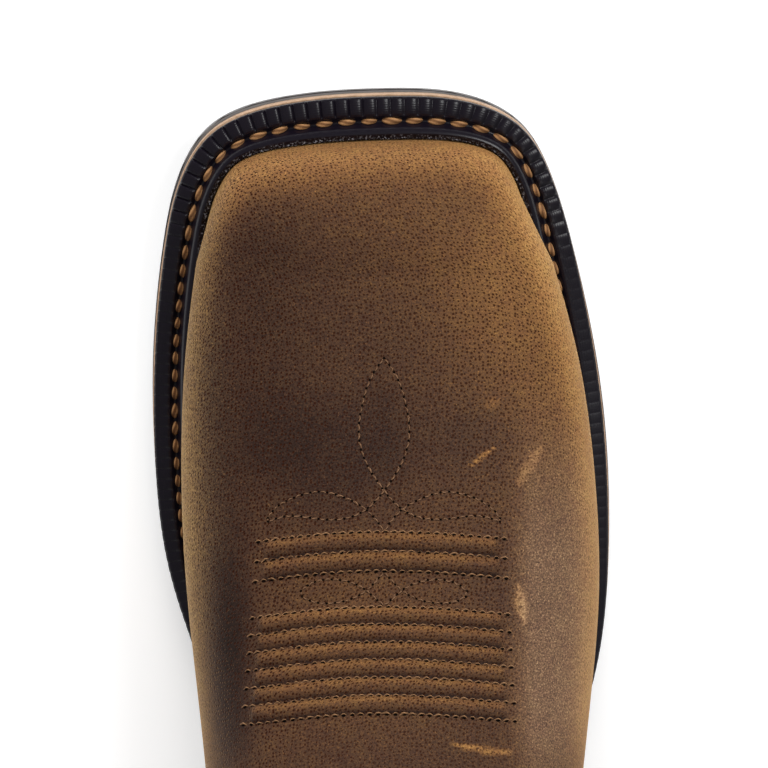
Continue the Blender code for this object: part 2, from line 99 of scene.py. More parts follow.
# Leather board: a dry, even tan with faint clouds, short fibres and hardly any gloss.
board, tree, shader = surface("insole_leather")
place = add(tree, "TexCoord").outputs["Object"]
fibre = add(tree, "TexNoise", Vector=place, Scale=per_metre(BOARD_FIBRE), Detail=4.0, Roughness=0.6)
cloud = add(tree, "TexNoise", Vector=place, Scale=per_metre(BOARD_CLOUD), Detail=3.0)
tan = add(tree, "ValToRGB", stops=BOARD_TANS, Fac=cloud)
bump = add(tree, "Bump", Strength=0.3, Distance=0.3 * MM, Height=fibre)
connect(shader, Base_Color=tan, Normal=bump, Roughness=0.8)
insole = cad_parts["insole"]
insole.data.materials.clear()
insole.data.materials.append(board)

# Upper
# Vamp and shaft of brown pull-up leather with open pores, 2.4 mm thick, lasted and turned over at the collar.
# Cords under the vamp stand out as ridges between rows of stitches. The sections are those of the last.
# They stand on the sole's outline and heights, which the pieces under the upper follow too.
LENGTH = 308.0
BALL_WIDTH = 118.0
HEEL_HEIGHT = 27.5
SEAT_RISE = 4.0
TOE_SPRING = 13.0
GAP = 0.3
OUTSOLE_FOREPART, OUTSOLE_WAIST = 9.0, 6.5
MIDSOLE = 3.5
FLAT_FRONT_Y, FLAT_BACK_Y, BREAST_Y = 72.0, 18.0, -80.0
SPRING_POWER = 1.7
OUTLINE = (
    # place, x share, y share, reach past the upper, ledge past the welt
    ("heel back", 0.000, 0.000, 3.5, 0.2),
    ("outer heel back", 0.440, 0.030, 3.5, 0.2),
    ("outer heel", 0.640, 0.125, 4.0, 0.2),
    ("outer breast", 0.665, 0.255, 5.0, 0.2),
    ("outer waist", 0.775, 0.395, 7.4, 0.2),
    ("outer waist front", 0.958, 0.516, 9.8, 0.3),
    ("outer ball", 1.000, 0.617, 11.2, 0.6),
    ("outer toes", 0.955, 0.745, 11.2, 0.6),
    ("outer cap", 0.824, 0.865, 10.2, 0.15),
    ("outer toe side", 0.718, 0.930, 8.8, 0.05),
    ("outer corner", 0.590, 0.971, 9.4, 0.35),
    ("outer toe", 0.352, 0.995, 11.2, 1.4),
    ("toe tip", 0.017, 1.000, 12.0, 1.8),
    ("inner toe", -0.430, 0.9925, 11.8, 1.9),
    ("inner corner", -0.736, 0.968, 11.0, 2.1),
    ("inner toe side", -0.873, 0.926, 10.4, 1.5),
    ("inner cap", -0.943, 0.870, 10.4, 1.0),
    ("inner toes", -1.000, 0.762, 10.6, 0.8),
    ("inner ball", -0.993, 0.675, 10.6, 0.4),
    ("inner ball back", -0.940, 0.594, 10.2, 0.2),
    ("inner waist front", -0.806, 0.510, 9.2, 0.2),
    ("inner waist", -0.620, 0.395, 7.2, 0.2),
    ("inner breast", -0.590, 0.255, 5.0, 0.2),
    ("inner heel", -0.600, 0.125, 4.0, 0.2),
    ("inner heel back", -0.420, 0.030, 3.5, 0.2),
)
OUTLINE_WRAP = 5          # knots repeated past both ends, so that the curve closes smoothly
OUTLINE_STEPS = 1441
EDGE_HALF_STEP = 0.5      # half the run over which the edge's direction is taken


def smooth(knots, values, at):
    """Natural cubic curve through one column of a short table, read at any places."""
    knots, values, at = (np.asarray(part, float) for part in (knots, values, at))
    gaps = np.diff(knots)
    slopes = np.diff(values) / gaps
    matrix = np.diag(2.0 * (gaps[:-1] + gaps[1:])) + np.diag(gaps[1:-1], 1) + np.diag(gaps[1:-1], -1)
    bends = np.zeros(len(knots))
    bends[1:-1] = np.linalg.solve(matrix, 6.0 * np.diff(slopes))
    i = np.clip(np.searchsorted(knots, at) - 1, 0, len(gaps) - 1)
    before, after = at - knots[i], knots[i + 1] - at
    curve = (bends[i] * after**3 + bends[i + 1] * before**3) / (6.0 * gaps[i])
    curve += (values[i] / gaps[i] - bends[i] * gaps[i] / 6.0) * after
    return curve + (values[i + 1] / gaps[i] - bends[i + 1] * gaps[i] / 6.0) * before


def fade(value, start, full):
    """Smooth change from 0 at the start to 1 where it is full."""
    share = np.clip((value - start) / (full - start), 0.0, 1.0)
    return share * share * (3.0 - 2.0 * share)


def running_length(points):
    """Length along a line of points, from 0 at its start."""
    return np.concatenate([[0.0], np.cumsum(np.linalg.norm(np.diff(points, axis=0), axis=1))])


def outline_table():
    """Knots along the outline, and its knots and columns wrapped past both ends."""
    columns = np.array([row[1:] for row in OUTLINE], float)
    columns[:, 0] *= BALL_WIDTH / 2
    columns[:, 1] = (columns[:, 1] - 0.5) * LENGTH
    closed = np.vstack([columns, columns[:1]])
    knots = running_length(closed[:, :2])
    before, after = knots[-1 - OUTLINE_WRAP:-1] - knots[-1], knots[1:OUTLINE_WRAP + 1] + knots[-1]
    table = np.vstack([columns[-OUTLINE_WRAP:], closed, columns[1:OUTLINE_WRAP + 1]])
    return knots, np.concatenate([before, knots, after]), table


KNOTS, WRAPPED_KNOTS, WRAPPED_TABLE = outline_table()
TOE_KNOT = KNOTS[[row[0] for row in OUTLINE].index("toe tip")]


def sole_edge(round_share):
    """Outline's place, inward direction, reach and ledge. Share 0 is the heel's back and 0.5 the toe tip."""
    at = np.interp(round_share, (0.0, 0.5, 1.0), (0.0, TOE_KNOT, KNOTS[-1]))
    x, y, reach, ledge = (smooth(WRAPPED_KNOTS, column, at) for column in WRAPPED_TABLE.T)
    behind, ahead = (np.array([smooth(WRAPPED_KNOTS, column, at + step) for column in WRAPPED_TABLE.T[:2]])
                     for step in (-EDGE_HALF_STEP, EDGE_HALF_STEP))
    run = (ahead - behind) / np.hypot(*(ahead - behind))
    return np.stack([x, y], axis=-1), np.stack([-run[1], run[0]], axis=-1), reach, ledge


def tread_z(y):
    """Underside of the outsole: flat under the ball, sprung at the toe and arched up to the heel's seat."""
    toe = np.clip((y - FLAT_FRONT_Y) / (LENGTH / 2 - FLAT_FRONT_Y), 0.0, 1.0)
    arch = HEEL_HEIGHT * fade(y, FLAT_BACK_Y, BREAST_Y)
    seat = SEAT_RISE * np.clip((BREAST_Y - y) / (BREAST_Y + LENGTH / 2), 0.0, 1.0)
    return TOE_SPRING * toe**SPRING_POWER + arch + seat


def outsole_top_z(y):
    """Upper face of the outsole, which thins from the forepart to the waist."""
    thin = fade(y, FLAT_BACK_Y, BREAST_Y / 2)
    return tread_z(y) + OUTSOLE_FOREPART + (OUTSOLE_WAIST - OUTSOLE_FOREPART) * thin


def feather_z(y):
    """Height where welt, upper and insole stand on the midsole."""
    return outsole_top_z(y) + GAP + MIDSOLE + GAP


INSTEP_HEIGHT = 88.0
COLLAR_RISE = 18.0
SECTIONS = (
    # place, foot y, foot z, ridge y, ridge z, inner width, outer width, widest, square
    ("cap", 0.864, 0.0, 0.864, 0.605, 0.785, 0.722, 0.34, 2.70),
    ("toes", 0.776, 0.0, 0.776, 0.672, 0.840, 0.845, 0.34, 2.55),
    ("ball", 0.679, 0.0, 0.679, 0.768, 0.855, 0.912, 0.34, 2.40),
    ("ball back", 0.591, 0.0, 0.597, 0.876, 0.832, 0.926, 0.36, 2.30),
    ("instep", 0.500, 0.0, 0.532, 1.000, 0.784, 0.890, 0.39, 2.25),
    ("waist", 0.386, 0.0, 0.480, 1.140, 0.728, 0.830, 0.43, 2.25),
    ("waist back", 0.273, 0.0, 0.447, 1.275, 0.696, 0.768, 0.47, 2.25),
    ("seat", 0.159, 0.0, 0.426, 1.400, 0.690, 0.722, 0.50, 2.25),
    ("heel", 0.055, 0.0, 0.412, 1.530, 0.680, 0.702, 0.51, 2.20),
    ("back", 0.0114, 0.0, 0.403, 1.665, 0.672, 0.688, 0.51, 2.15),
    ("counter", 0.0100, 0.660, 0.397, 1.825, 0.670, 0.680, 0.51, 2.10),
    ("counter top", 0.0110, 0.930, 0.394, 2.010, 0.678, 0.684, 0.51, 2.10),
    ("ankle", 0.0260, 1.290, 0.393, 2.215, 0.706, 0.709, 0.50, 2.10),
    ("shaft", 0.0370, 1.730, 0.393, 2.450, 0.764, 0.764, 0.50, 2.10),
    ("calf", 0.0310, 2.300, 0.397, 2.720, 0.840, 0.840, 0.50, 2.10),
    ("band", 0.0165, 3.010, 0.406, 3.010, 0.893, 0.893, 0.50, 2.10),
    ("collar", 0.0140, 3.170, 0.409, 3.170, 0.910, 0.910, 0.50, 2.10),
)
RISE = 7.0
LEAST_BULGE = 1.004
TOE_POWER = 2.5
CAP_SLOPE_ROW = 0.2
SCALLOP_ROWS = (12.5, 15.0)
BAND_ROW, COLLAR_ROW = 15.0, 16.0
BAND_EDGE = 0.04          # rows over which the facing steps out from the shaft
FEATHER_STEPS = np.linspace(0.0, 1.0, OUTLINE_STEPS)
edge_place, edge_inward, edge_reach, _ = sole_edge(FEATHER_STEPS)
FEATHER = edge_place + edge_inward * edge_reach[:, None]
TOE_STEP = len(FEATHER) // 2
SECTION_KNOTS = np.arange(len(SECTIONS))
SEAT, BACK = ([row[0] for row in SECTIONS].index(place) for place in ("seat", "back"))
ROW_SEARCH = 400


def feather_share(y, outer):
    """Share round the sole where the upper's foot passes a place along the boot, on one side."""
    half = slice(None, TOE_STEP + 1) if outer else slice(None, TOE_STEP - 1, -1)
    return np.interp(y, FEATHER[half, 1], FEATHER_STEPS[half])


def feather_point(share):
    """Point on the feather line, where the upper meets the welt."""
    x, y = (np.interp(share, FEATHER_STEPS, FEATHER[:, k]) for k in (0, 1))
    return np.stack([x, y, feather_z(y)], axis=-1)


def section_sizes(rows):
    """Foot, ridge, half widths, widest share and rounding power of sections at any rows of the table."""
    rows = np.atleast_1d(np.asarray(rows, float))
    columns = np.array([values[1:] for values in SECTIONS], float)
    feet = (columns[:, 0] - 0.5) * LENGTH
    feet[BACK] = FEATHER[0, 1]
    heights = columns[:, 1] * INSTEP_HEIGHT
    heights[BACK] = feather_z(feet[BACK]) + RISE
    foot_y = smooth(SECTION_KNOTS[:BACK], feet[:BACK], np.minimum(rows, SEAT))
    round_heel = np.sin(np.clip((rows - SEAT) / (BACK - SEAT), 0.0, 1.0) * math.pi / 2)
    foot_y = foot_y + (feet[BACK] - feet[SEAT]) * round_heel
    foot_z = feather_z(foot_y) + RISE
    foot_y = np.where(rows > BACK, smooth(SECTION_KNOTS[BACK:], feet[BACK:], rows), foot_y)
    foot_z = np.where(rows > BACK, smooth(SECTION_KNOTS[BACK:], heights[BACK:], rows), foot_z)
    ridge_y, ridge_z, inner, outer, widest, square = (
        smooth(SECTION_KNOTS, column, rows) for column in columns[:, 2:].T)
    foot = np.stack([foot_y, foot_z], axis=-1)
    ridge = np.stack([(ridge_y - 0.5) * LENGTH, ridge_z * INSTEP_HEIGHT], axis=-1)
    return foot, ridge, np.stack([inner, outer], axis=-1) * BALL_WIDTH / 2, widest, square


def section_points(rows, across):
    """Points of sections, rows by places across from 0 at the inner foot over the ridge to 1 at the outer."""
    rows = np.atleast_1d(np.asarray(rows, float))
    foot, ridge, widths, widest, square = section_sizes(rows)
    inner = -feather_point(feather_share(foot[:, 0], outer=False))[:, 0]
    outer = feather_point(feather_share(foot[:, 0], outer=True))[:, 0]
    foot_widths = np.clip(np.stack([inner, outer], axis=-1), 0.0, None) * (rows < BACK)[:, None]
    widths = np.maximum(widths, foot_widths * LEAST_BULGE)
    turns = np.arccos((foot_widths / widths) ** (square[:, None] / 2))
    turn = -turns[:, :1] + (math.pi + turns.sum(1, keepdims=True)) * np.asarray(across)[None, :]
    inner_side = np.cos(turn) > 0
    width = np.where(inner_side, widths[:, :1], widths[:, 1:])
    low = np.sin(np.where(inner_side, turns[:, :1], turns[:, 1:]))
    power = 2.0 / square[:, None]
    bulge = np.abs(np.cos(turn)) ** power
    up = np.sin(turn)
    share = widest[:, None]
    above = share + (1.0 - share) * np.clip(up, 0.0, 1.0) ** power
    below = share * (1.0 - np.clip(-up / low, 0.0, 1.0) ** power)
    climb = np.where(up >= 0, above, below)
    points = np.empty(turn.shape + (3,))
    points[..., 0] = bulge * width * np.where(inner_side, -1.0, 1.0)
    points[..., 1:] = foot[:, None] + (ridge - foot)[:, None] * climb[..., None]
    points[..., 2] += COLLAR_RISE * fade(rows, *SCALLOP_ROWS)[:, None] * bulge**2
    return points


def toe_points(turn_shares, across):
    """Points of the toe box, which swings from the feather line round the toe up to the cap's section."""
    foot, ridge, _, _, _ = (part[0] for part in section_sizes(0.0))
    arch = section_points(0.0, across)[0]
    ends = [feather_share(foot[0], outer) for outer in (False, True)]
    front = feather_point(ends[0] + (ends[1] - ends[0]) * np.asarray(across)) + (0.0, 0.0, RISE)
    hub = np.column_stack([arch[:, 0], np.full(len(arch), foot[0]), np.full(len(arch), foot[1])])
    turn = np.asarray(turn_shares)[:, None, None] * math.pi / 2
    ahead = np.clip(np.cos(turn), 0.0, 1.0) ** (2.0 / TOE_POWER)
    above = np.sin(turn) ** (2.0 / TOE_POWER)
    points = hub + (front - hub) * ahead + (arch - hub) * above
    height_share = (arch[:, 2] - foot[1]) / (ridge[1] - foot[1])
    behind = section_sizes(CAP_SLOPE_ROW)[1][0]
    slope = (behind[1] - ridge[1]) / (behind[0] - ridge[0])
    points[..., 2] += slope * (points[..., 1] - foot[0]) * np.sin(turn[..., 0]) ** 2 * height_share
    return points


def even_rows(first, last, step):
    """Rows of the table from first to last, about one step apart along the mean of foot and ridge."""
    dense = np.linspace(first, last, ROW_SEARCH)
    foot, ridge = section_sizes(dense)[:2]
    length = (running_length(foot) + running_length(ridge)) / 2
    return np.interp(np.linspace(0.0, length[-1], max(int(length[-1] / step), 2)), length, dense)


# Rows of the upper's grid: the toe box, the ridged vamp at a fine step, the heel, the shaft and the facing.
COLUMNS = 181
TOE_ROWS = 46
VAMP_END_ROW = 4.35
VAMP_STEP, HEEL_STEP, SHAFT_STEP, BAND_STEP = 0.55, 1.6, 2.2, 1.2
across = np.linspace(0.0, 1.0, COLUMNS)
toe_turns = np.linspace(0.0, 1.0, TOE_ROWS + 1)[:-1]
vamp_rows = even_rows(0.0, VAMP_END_ROW, VAMP_STEP)[:-1]
heel_rows = even_rows(VAMP_END_ROW, BACK, HEEL_STEP)
shaft_rows = even_rows(BACK, BAND_ROW - BAND_EDGE, SHAFT_STEP)[1:]
band_rows = even_rows(BAND_ROW, COLLAR_ROW, BAND_STEP)
section_rows = np.concatenate([vamp_rows, heel_rows, shaft_rows, band_rows])
body = np.concatenate([toe_points(toe_turns, across), section_points(section_rows, across)])
closed_from = len(toe_turns) + len(vamp_rows) + len(heel_rows)
feet = body[:, [0, -1]] - (0.0, 0.0, RISE)
feet[closed_from:] = body[closed_from:, [0, -1]]
base = np.concatenate([feet[:, :1], body, feet[:, 1:]], axis=1)
base[closed_from:, :2, 0] = 0.0
base[closed_from:, -2:, 0] = 0.0
front_foot = np.concatenate([feet[:1, :1], body[:1] - (0.0, 0.0, RISE), feet[:1, 1:]], axis=1)
base = np.concatenate([front_foot, base])
grid_rows = np.concatenate([[-1.0], toe_turns - 1.0, section_rows])


def lengths_along(points, axis):
    """Running length of a grid of points along one of its axes."""
    run = np.linalg.norm(np.diff(points, axis=axis), axis=2)
    shape = list(points.shape[:2])
    shape[axis] = 1
    return np.concatenate([np.zeros(shape), np.cumsum(run, axis=axis)], axis=axis)


def grid_normals(points):
    """Directions out of a grid of points."""
    normal = np.cross(np.gradient(points, axis=0), np.gradient(points, axis=1))
    return normal / np.maximum(np.linalg.norm(normal, axis=2, keepdims=True), 1e-9)


skin_v = lengths_along(base, 0)
skin_u = lengths_along(base, 1)
skin_u = skin_u - skin_u[:, [skin_u.shape[1] // 2]]
normals = grid_normals(base)
# Both sides of the back seam face straight back, so that the skin stays closed where it rises or sinks.
seam_normals = normals[closed_from + 1:, [1, -2]].sum(1) * (0.0, 1.0, 1.0)
seam_normals /= np.linalg.norm(seam_normals, axis=1, keepdims=True)
normals[closed_from + 1:, [0, 1, -2, -1]] = seam_normals[:, None]

# Vamp ridges and stitch lines
# Ten bowed rows of stitches in two groups hold the cords down, and two flowers of curved lines fill the gaps.
# The leather rises over each cord, sinks along each line and folds softly where the ankle bends.
RIDGE_HEIGHT = 1.25
RIDGE_ROUNDING = 0.75
RIDGE_STOP = 2.4          # the cords stop this far short of the rows' ends
RIDGE_END_FADE = 1.4
# Each ridge is painted lighter near its front, a painted highlight on its slope towards the toe, and painted
# darker along its back, a painted shadow in the crease before the next row, at shares of the rows' pitch.
RIDGE_LIGHT, LIGHT_PLACE, LIGHT_WIDTH = 0.17, 0.20, 0.24
RIDGE_SHADE, SHADE_WIDTH = 0.32, 0.13
RIDGE_GROUPS = (
    # place, first row's y on the middle line, pitch of the rows, ridges
    ("toe group", 51.6, 4.5, 2),
    ("instep group", 34.4, 3.9, 6),
)
FIRST_ROW_Y = RIDGE_GROUPS[0][1]
# Drop and half run of the first row on the inner and the outer side, and what each millimetre back adds.
ROW_DROPS, DROP_GROWTHS = (3.6, 2.6), (0.052, 0.027)
ROW_SPANS, SPAN_GROWTHS = (31.3, 31.0), (0.085, 0.057)
BOW_ROUNDS = 3            # a place's row is found by trying and correcting
FLOWER_MIDDLE_X = 0.5
# Lines of the flowers from above: one thread of each mirrored pair, and which of its points are sharp tips.
FLOWERS = (
    (((0.5, 92.5), (-2.6, 88.0), (-4.8, 81.5), (-5.7, 75.6), (-4.7, 69.6), (-2.2, 64.8), (0.5, 61.1),
      (4.8, 56.8), (8.4, 55.0), (13.4, 54.2), (19.0, 54.6), (24.0, 54.7), (29.6, 52.8), (27.4, 56.0),
      (22.0, 59.3), (16.0, 60.7), (10.6, 59.6), (4.8, 56.6), (2.4, 54.2), (0.6, 51.7)), (12,)),
    (((0.4, 42.4), (2.4, 40.2), (4.8, 38.0), (9.2, 35.8), (14.6, 34.9), (19.0, 35.5), (21.4, 36.8),
      (18.8, 39.0), (13.8, 40.4), (9.0, 39.9), (4.8, 38.0), (2.6, 36.2), (0.4, 34.6)), (6,)),
)
FLOWER_LINES = 2 * len(FLOWERS)
LINE_DEPTH, LINE_WIDTH = 0.22, 0.65
LINE_STEP = 0.25
CREASES = (
    # place, middle, direction, half length, half width, height
    ("ankle front low", (0, -18, 128), (1, 0.0, 0.0), 34, 6.0, -1.5),
    ("ankle front swell", (0, -21, 141), (1, 0.0, 0.0), 36, 6.5, 1.1),
    ("ankle front high", (4, -24, 155), (1, 0.1, 0.2), 30, 6.0, -1.2),
    ("outer ankle", (45, -62, 118), (0.1, -0.8, 0.6), 26, 7.0, -1.1),
    ("outer ankle swell", (46, -64, 131), (0.1, -0.8, 0.6), 24, 7.0, 0.9),
    ("inner ankle", (-44, -66, 122), (0.1, 0.8, -0.6), 25, 7.0, -1.2),
    ("inner ankle swell", (-45, -67, 136), (0.1, 0.8, -0.6), 22, 7.0, 0.8),
    ("back low", (3, -149, 118), (1, 0.0, 0.15), 22, 6.0, -1.0),
    ("back high", (-4, -146, 137), (1, 0.0, -0.1), 24, 7.0, -0.9),
    ("outer shaft hang", (50, -74, 215), (0.05, 0.3, 1.0), 42, 11.0, -1.2),
    ("inner shaft hang", (-50, -80, 205), (0.05, -0.3, 1.0), 40, 11.0, -1.2),
)
CREASES_FROM_ROW = VAMP_END_ROW - 1.0
COLLAR_STEP = 0.8         # the facing stands out from the shaft
VAMP_FROM_ROW = -0.5      # half-way up the toe box


def row_bow(row_y, x):
    """How far a row of stitches has dropped towards the heel at a place across, and its half run there."""
    back = FIRST_ROW_Y - row_y
    side = np.where(x < 0, 0, 1)
    drop = np.take(ROW_DROPS, side) + np.take(DROP_GROWTHS, side) * back
    span = np.take(ROW_SPANS, side) + np.take(SPAN_GROWTHS, side) * back
    return drop * (x / span) ** 2, span


def ridge_relief(x, y):
    """Height of the corded ridges over the plain vamp, and the painted light and shade along them."""
    lift, wear = np.zeros(np.shape(x)), np.zeros(np.shape(x))
    row_y = y
    for _ in range(BOW_ROUNDS):
        bow, span = row_bow(row_y, x)
        row_y = y + bow
    ends = fade(span - RIDGE_STOP - np.abs(x), 0.0, RIDGE_END_FADE)
    for _, first, pitch, ridges in RIDGE_GROUPS:
        count = (first - row_y) / pitch
        inside = ends * ((count > 0) & (count < ridges))
        behind = count % 1.0
        lift += inside * RIDGE_HEIGHT * np.abs(np.sin(math.pi * count)) ** RIDGE_ROUNDING
        # Painted highlight along the front of each ridge, and painted shadow in the crease along its back.
        wear += inside * RIDGE_LIGHT * np.exp(-((behind - LIGHT_PLACE) / LIGHT_WIDTH) ** 2)
        wear -= inside * RIDGE_SHADE * np.exp(-((1.0 - behind) / SHADE_WIDTH) ** 2)
    return lift, wear


def curve_through(points, corners):
    """Smooth line through points, with a sharp turn at each corner."""
    stops = [0, *corners, len(points) - 1]
    parts = []
    for first, last in zip(stops[:-1], stops[1:]):
        part = np.asarray(points[first:last + 1], float)
        knots = running_length(part)
        at = np.arange(0.0, knots[-1], LINE_STEP)
        parts.append(np.stack([smooth(knots, column, at) for column in part.T], axis=-1))
    return np.vstack(parts + [np.asarray(points[-1:], float)])


def vamp_lines():
    """Stitch lines of the vamp as seen from above: first the flowers, then the rows."""
    lines = []
    for points, tips in FLOWERS:
        line = curve_through(points, tips)
        lines += [line, line * (-1, 1) + (2 * FLOWER_MIDDLE_X, 0)]
    for _, first, pitch, ridges in RIDGE_GROUPS:
        for number in range(ridges + 1):
            row_y = first - pitch * number
            left, right = (float(row_bow(row_y, np.array(side))[1]) for side in (-1.0, 1.0))
            x = np.arange(-left, right, LINE_STEP)
            lines.append(np.column_stack([x, row_y - row_bow(row_y, x)[0]]))
    return lines


def crease_lift(points):
    """Height of the soft troughs and swells, from each point's place along and off their middle lines."""
    lift = np.zeros(points.shape[:2])
    for _, middle, direction, half_length, half_width, height in CREASES:
        direction = np.array(direction, float) / np.linalg.norm(direction)
        offset = points - np.array(middle, float)
        along = offset @ direction
        off = np.maximum((offset**2).sum(2) - along**2, 0.0)
        lift += height * np.exp(-(along / half_length) ** 2 - off / half_width**2)
    return lift


stitch_lines = vamp_lines()
on_vamp = (grid_rows > VAMP_FROM_ROW) & (grid_rows < VAMP_END_ROW)
lift = crease_lift(base) * (grid_rows > CREASES_FROM_ROW)[:, None]
lift += COLLAR_STEP * (grid_rows >= BAND_ROW)[:, None]
ridge_height, ridge_painted_light = ridge_relief(base[..., 0], base[..., 1])
lift[on_vamp] += ridge_height[on_vamp]
ridge_painted_light[~on_vamp] = 0.0
line_points = np.vstack([line[::2] for line in stitch_lines[:FLOWER_LINES]])
for row in np.flatnonzero(on_vamp):
    apart = np.linalg.norm(base[row, :, None, :2] - line_points[None], axis=2).min(1)
    lift[row] -= LINE_DEPTH * np.exp(-(apart / LINE_WIDTH) ** 2)
skin = base + normals * lift[..., None]

# Leather of the upper
# The outer skin is one sheet, rolled over the collar's rim and turned down inside as a facing.
# Pull-up leather: waxy chocolate brown and golden tan where lasting and wear stretch it, with painted light
# and shade in part of its tone.
COLLAR_WALL = 3.4
FACING_DEPTH = 22.0
FACING_TAPER = 0.0013     # share by which the facing narrows for each millimetre down
FACING_ROWS, ROLL_STEPS = 11, 8
ROLL_ROW = 2.0            # height of one row of the roll on the leather's map
PLAIN_TONE = 0.395
# Patches lighten or darken the tone: the darker inner side and middle and the lighter outer toe are partly
# painted shade and painted light, for the side turned away from the key and the side turned to it.
TONE_PATCHES = (
    # place, x, y, half width, half length, change of tone
    ("lighter outer toe", 31.0, 112.0, 17.0, 24.0, 0.25),
    ("toe middle", 4.0, 130.0, 24.0, 11.0, 0.06),
    ("toe edge", 0.0, 144.0, 34.0, 9.0, -0.09),
    ("inner front", -32.0, 100.0, 15.0, 34.0, -0.125),
    ("inner flank", -49.0, 46.0, 9.0, 46.0, 0.035),
    ("darker middle", -17.0, 70.0, 20.0, 17.0, -0.18),
    ("inside the long leaf", 0.5, 76.0, 7.0, 15.0, -0.07),
    ("darker outer patch", 24.0, 73.0, 10.0, 8.0, -0.06),
    ("inner strip by the ridges", -37.5, 22.0, 5.5, 32.0, -0.31),
    ("instep middle", 0.0, -4.0, 26.0, 10.0, -0.09),
    ("outer toes", 42.0, 84.0, 13.0, 24.0, 0.12),
    ("ridges", 0.0, 30.0, 30.0, 24.0, 0.05),
)
SCUFFS = (
    # place, from x and y, to x and y, half width, change of tone
    ("outer rows", (21.5, 66.6), (28.0, 71.1), 0.60, 0.50),
    ("outer ball", (33.0, 61.0), (39.5, 70.5), 1.6, 0.20),
    ("outer toes", (25.5, 80.0), (28.5, 82.6), 1.6, 0.16),
    ("end of the rows", (33.0, 39.0), (35.0, 28.5), 1.5, 0.30),
    ("instep", (16.2, 4.4), (33.8, 0.2), 0.80, 0.46),
)
SCUFF_TIP = 0.08          # share of a scuff's width at its ends
FRONT_Y = (-30.0, 10.0)   # wear comes in along the instep
LOW_Z = (110.0, 80.0)     # and below the ankle
# The rim along the feather line is lighter, partly as leather stretched over the last and partly as painted
# light and sheen where the leather turns down towards the lamps: widths and changes of tone.
RIM_INNER, RIM_OUTER, RIM_FRONT = 5.2, 5.6, 7.5
RIM_SIDES_X, RIM_FRONT_Y = (-25.0, 35.0), (118.0, 134.0)
RIM_TONE, RIM_FRONT_TONE = 0.12, 0.27
RIM_EVERY = 6             # every sixth point of the feather line is enough to measure from
# Behind the toes the outer flank is painted a pale, greyed taupe, a painted sheen, and the inner flank leans
# to gold, a painted golden sheen.
HAZE_Y, HAZE_X = (92.0, 40.0), (28.0, 38.0)
HAZE_TONE, HAZE_ON_RIM, RIM_CLEARS = 0.23, 0.12, 0.9
GOLD_X, GOLD_HAZE = (-34.0, -46.0), 0.4
# How far the pores stand open: more on the inner side, less in the haze, on rubbed places, at toe and instep.
OPEN, OPEN_INNER, OPEN_INNER_X = 1.04, 0.45, (-18.0, -32.0)
CLOSED_RIM, CLOSED_RIM_X = 0.25, (10.0, 35.0)
CLOSED_HAZE, CLOSED_SCUFF = 0.7, 0.5
CLOSED_TOE, CLOSED_TOE_Y = 0.06, (110.0, 124.0)
CLOSED_INSTEP, CLOSED_INSTEP_Y = 0.15, (14.0, 2.0)
LEATHER_TONES = (
    # tone, colour
    (0.00, "#18120f"),
    (0.20, "#2d201b"),
    (0.40, "#483325"),
    (0.60, "#67482c"),
    (0.80, "#896238"),
    (1.00, "#b08650"),
)
NAP_GOLD = "#dcb478"
PORE_PITCH = 1.05
PORE_BROWN = "#2e1408"
WAX_CLOUD, WAX_REACH = 10 / 0.38, 0.16
WEAR_CLOUD, WEAR_REACH = 10 / 2.6, 0.12
NAP, FLECK = 10 / 23, 10 / 26   # drawn coarser than real fibres, which wouldn't show
SCUFF_GRAIN = 10 / 9
SEAM_REACH = 0.02


def collar_roll():
    """Rows of points over the collar's rim and down inside."""
    top, inward = skin[-1], -normals[-1]
    rows = []
    for step in range(1, ROLL_STEPS + 1):
        turn = math.pi * step / ROLL_STEPS
        rise = np.array([0.0, 0.0, COLLAR_WALL / 2 * math.sin(turn)])
        rows.append(top + inward * (COLLAR_WALL / 2 * (1 - math.cos(turn))) + rise)
    inside = rows[-1]
    middle = inside.mean(0) * (1, 1, 0)
    for depth in np.linspace(0.0, FACING_DEPTH, FACING_ROWS + 1)[1:]:
        shrink = 1.0 - FACING_TAPER * depth
        rows.append(middle + (inside - middle) * (shrink, shrink, 1.0) - (0.0, 0.0, depth))
    return np.array(rows)


def grid_faces(rows, columns):
    """Four-sided faces of a grid of points."""
    corner = (np.arange(rows - 1)[:, None] * columns + np.arange(columns - 1)).reshape(-1)
    return np.stack([corner, corner + columns, corner + columns + 1, corner + 1], axis=-1)


def place_mesh(name, points, faces, finish, uv=None, values=()):
    """Smooth object from points in millimetres, with a map in millimetres and named values on its points."""
    mesh = bpy.data.meshes.new(name)
    mesh.from_pydata((np.asarray(points) * MM).tolist(), [], [tuple(face) for face in faces])
    if uv is not None:
        corners = np.empty(len(mesh.loops), int)
        mesh.loops.foreach_get("vertex_index", corners)
        spread = np.asarray(uv).reshape(-1, 2)[corners].astype(np.float32)
        mesh.uv_layers.new(name="grain").data.foreach_set("uv", spread.reshape(-1))
    for label, amounts in dict(values).items():
        layer = mesh.attributes.new(label, "FLOAT", "POINT")
        layer.data.foreach_set("value", amounts.astype(np.float32).reshape(-1))
    mesh.shade_smooth()
    mesh.materials.append(finish)
    made = bpy.data.objects.new(name, mesh)
    bpy.context.scene.collection.objects.link(made)
    return made


def join_seams(made):
    """Join the points that coincide, such as the two sides of the back seam."""
    made.modifiers.new("seams", "WELD").merge_threshold = SEAM_REACH * MM


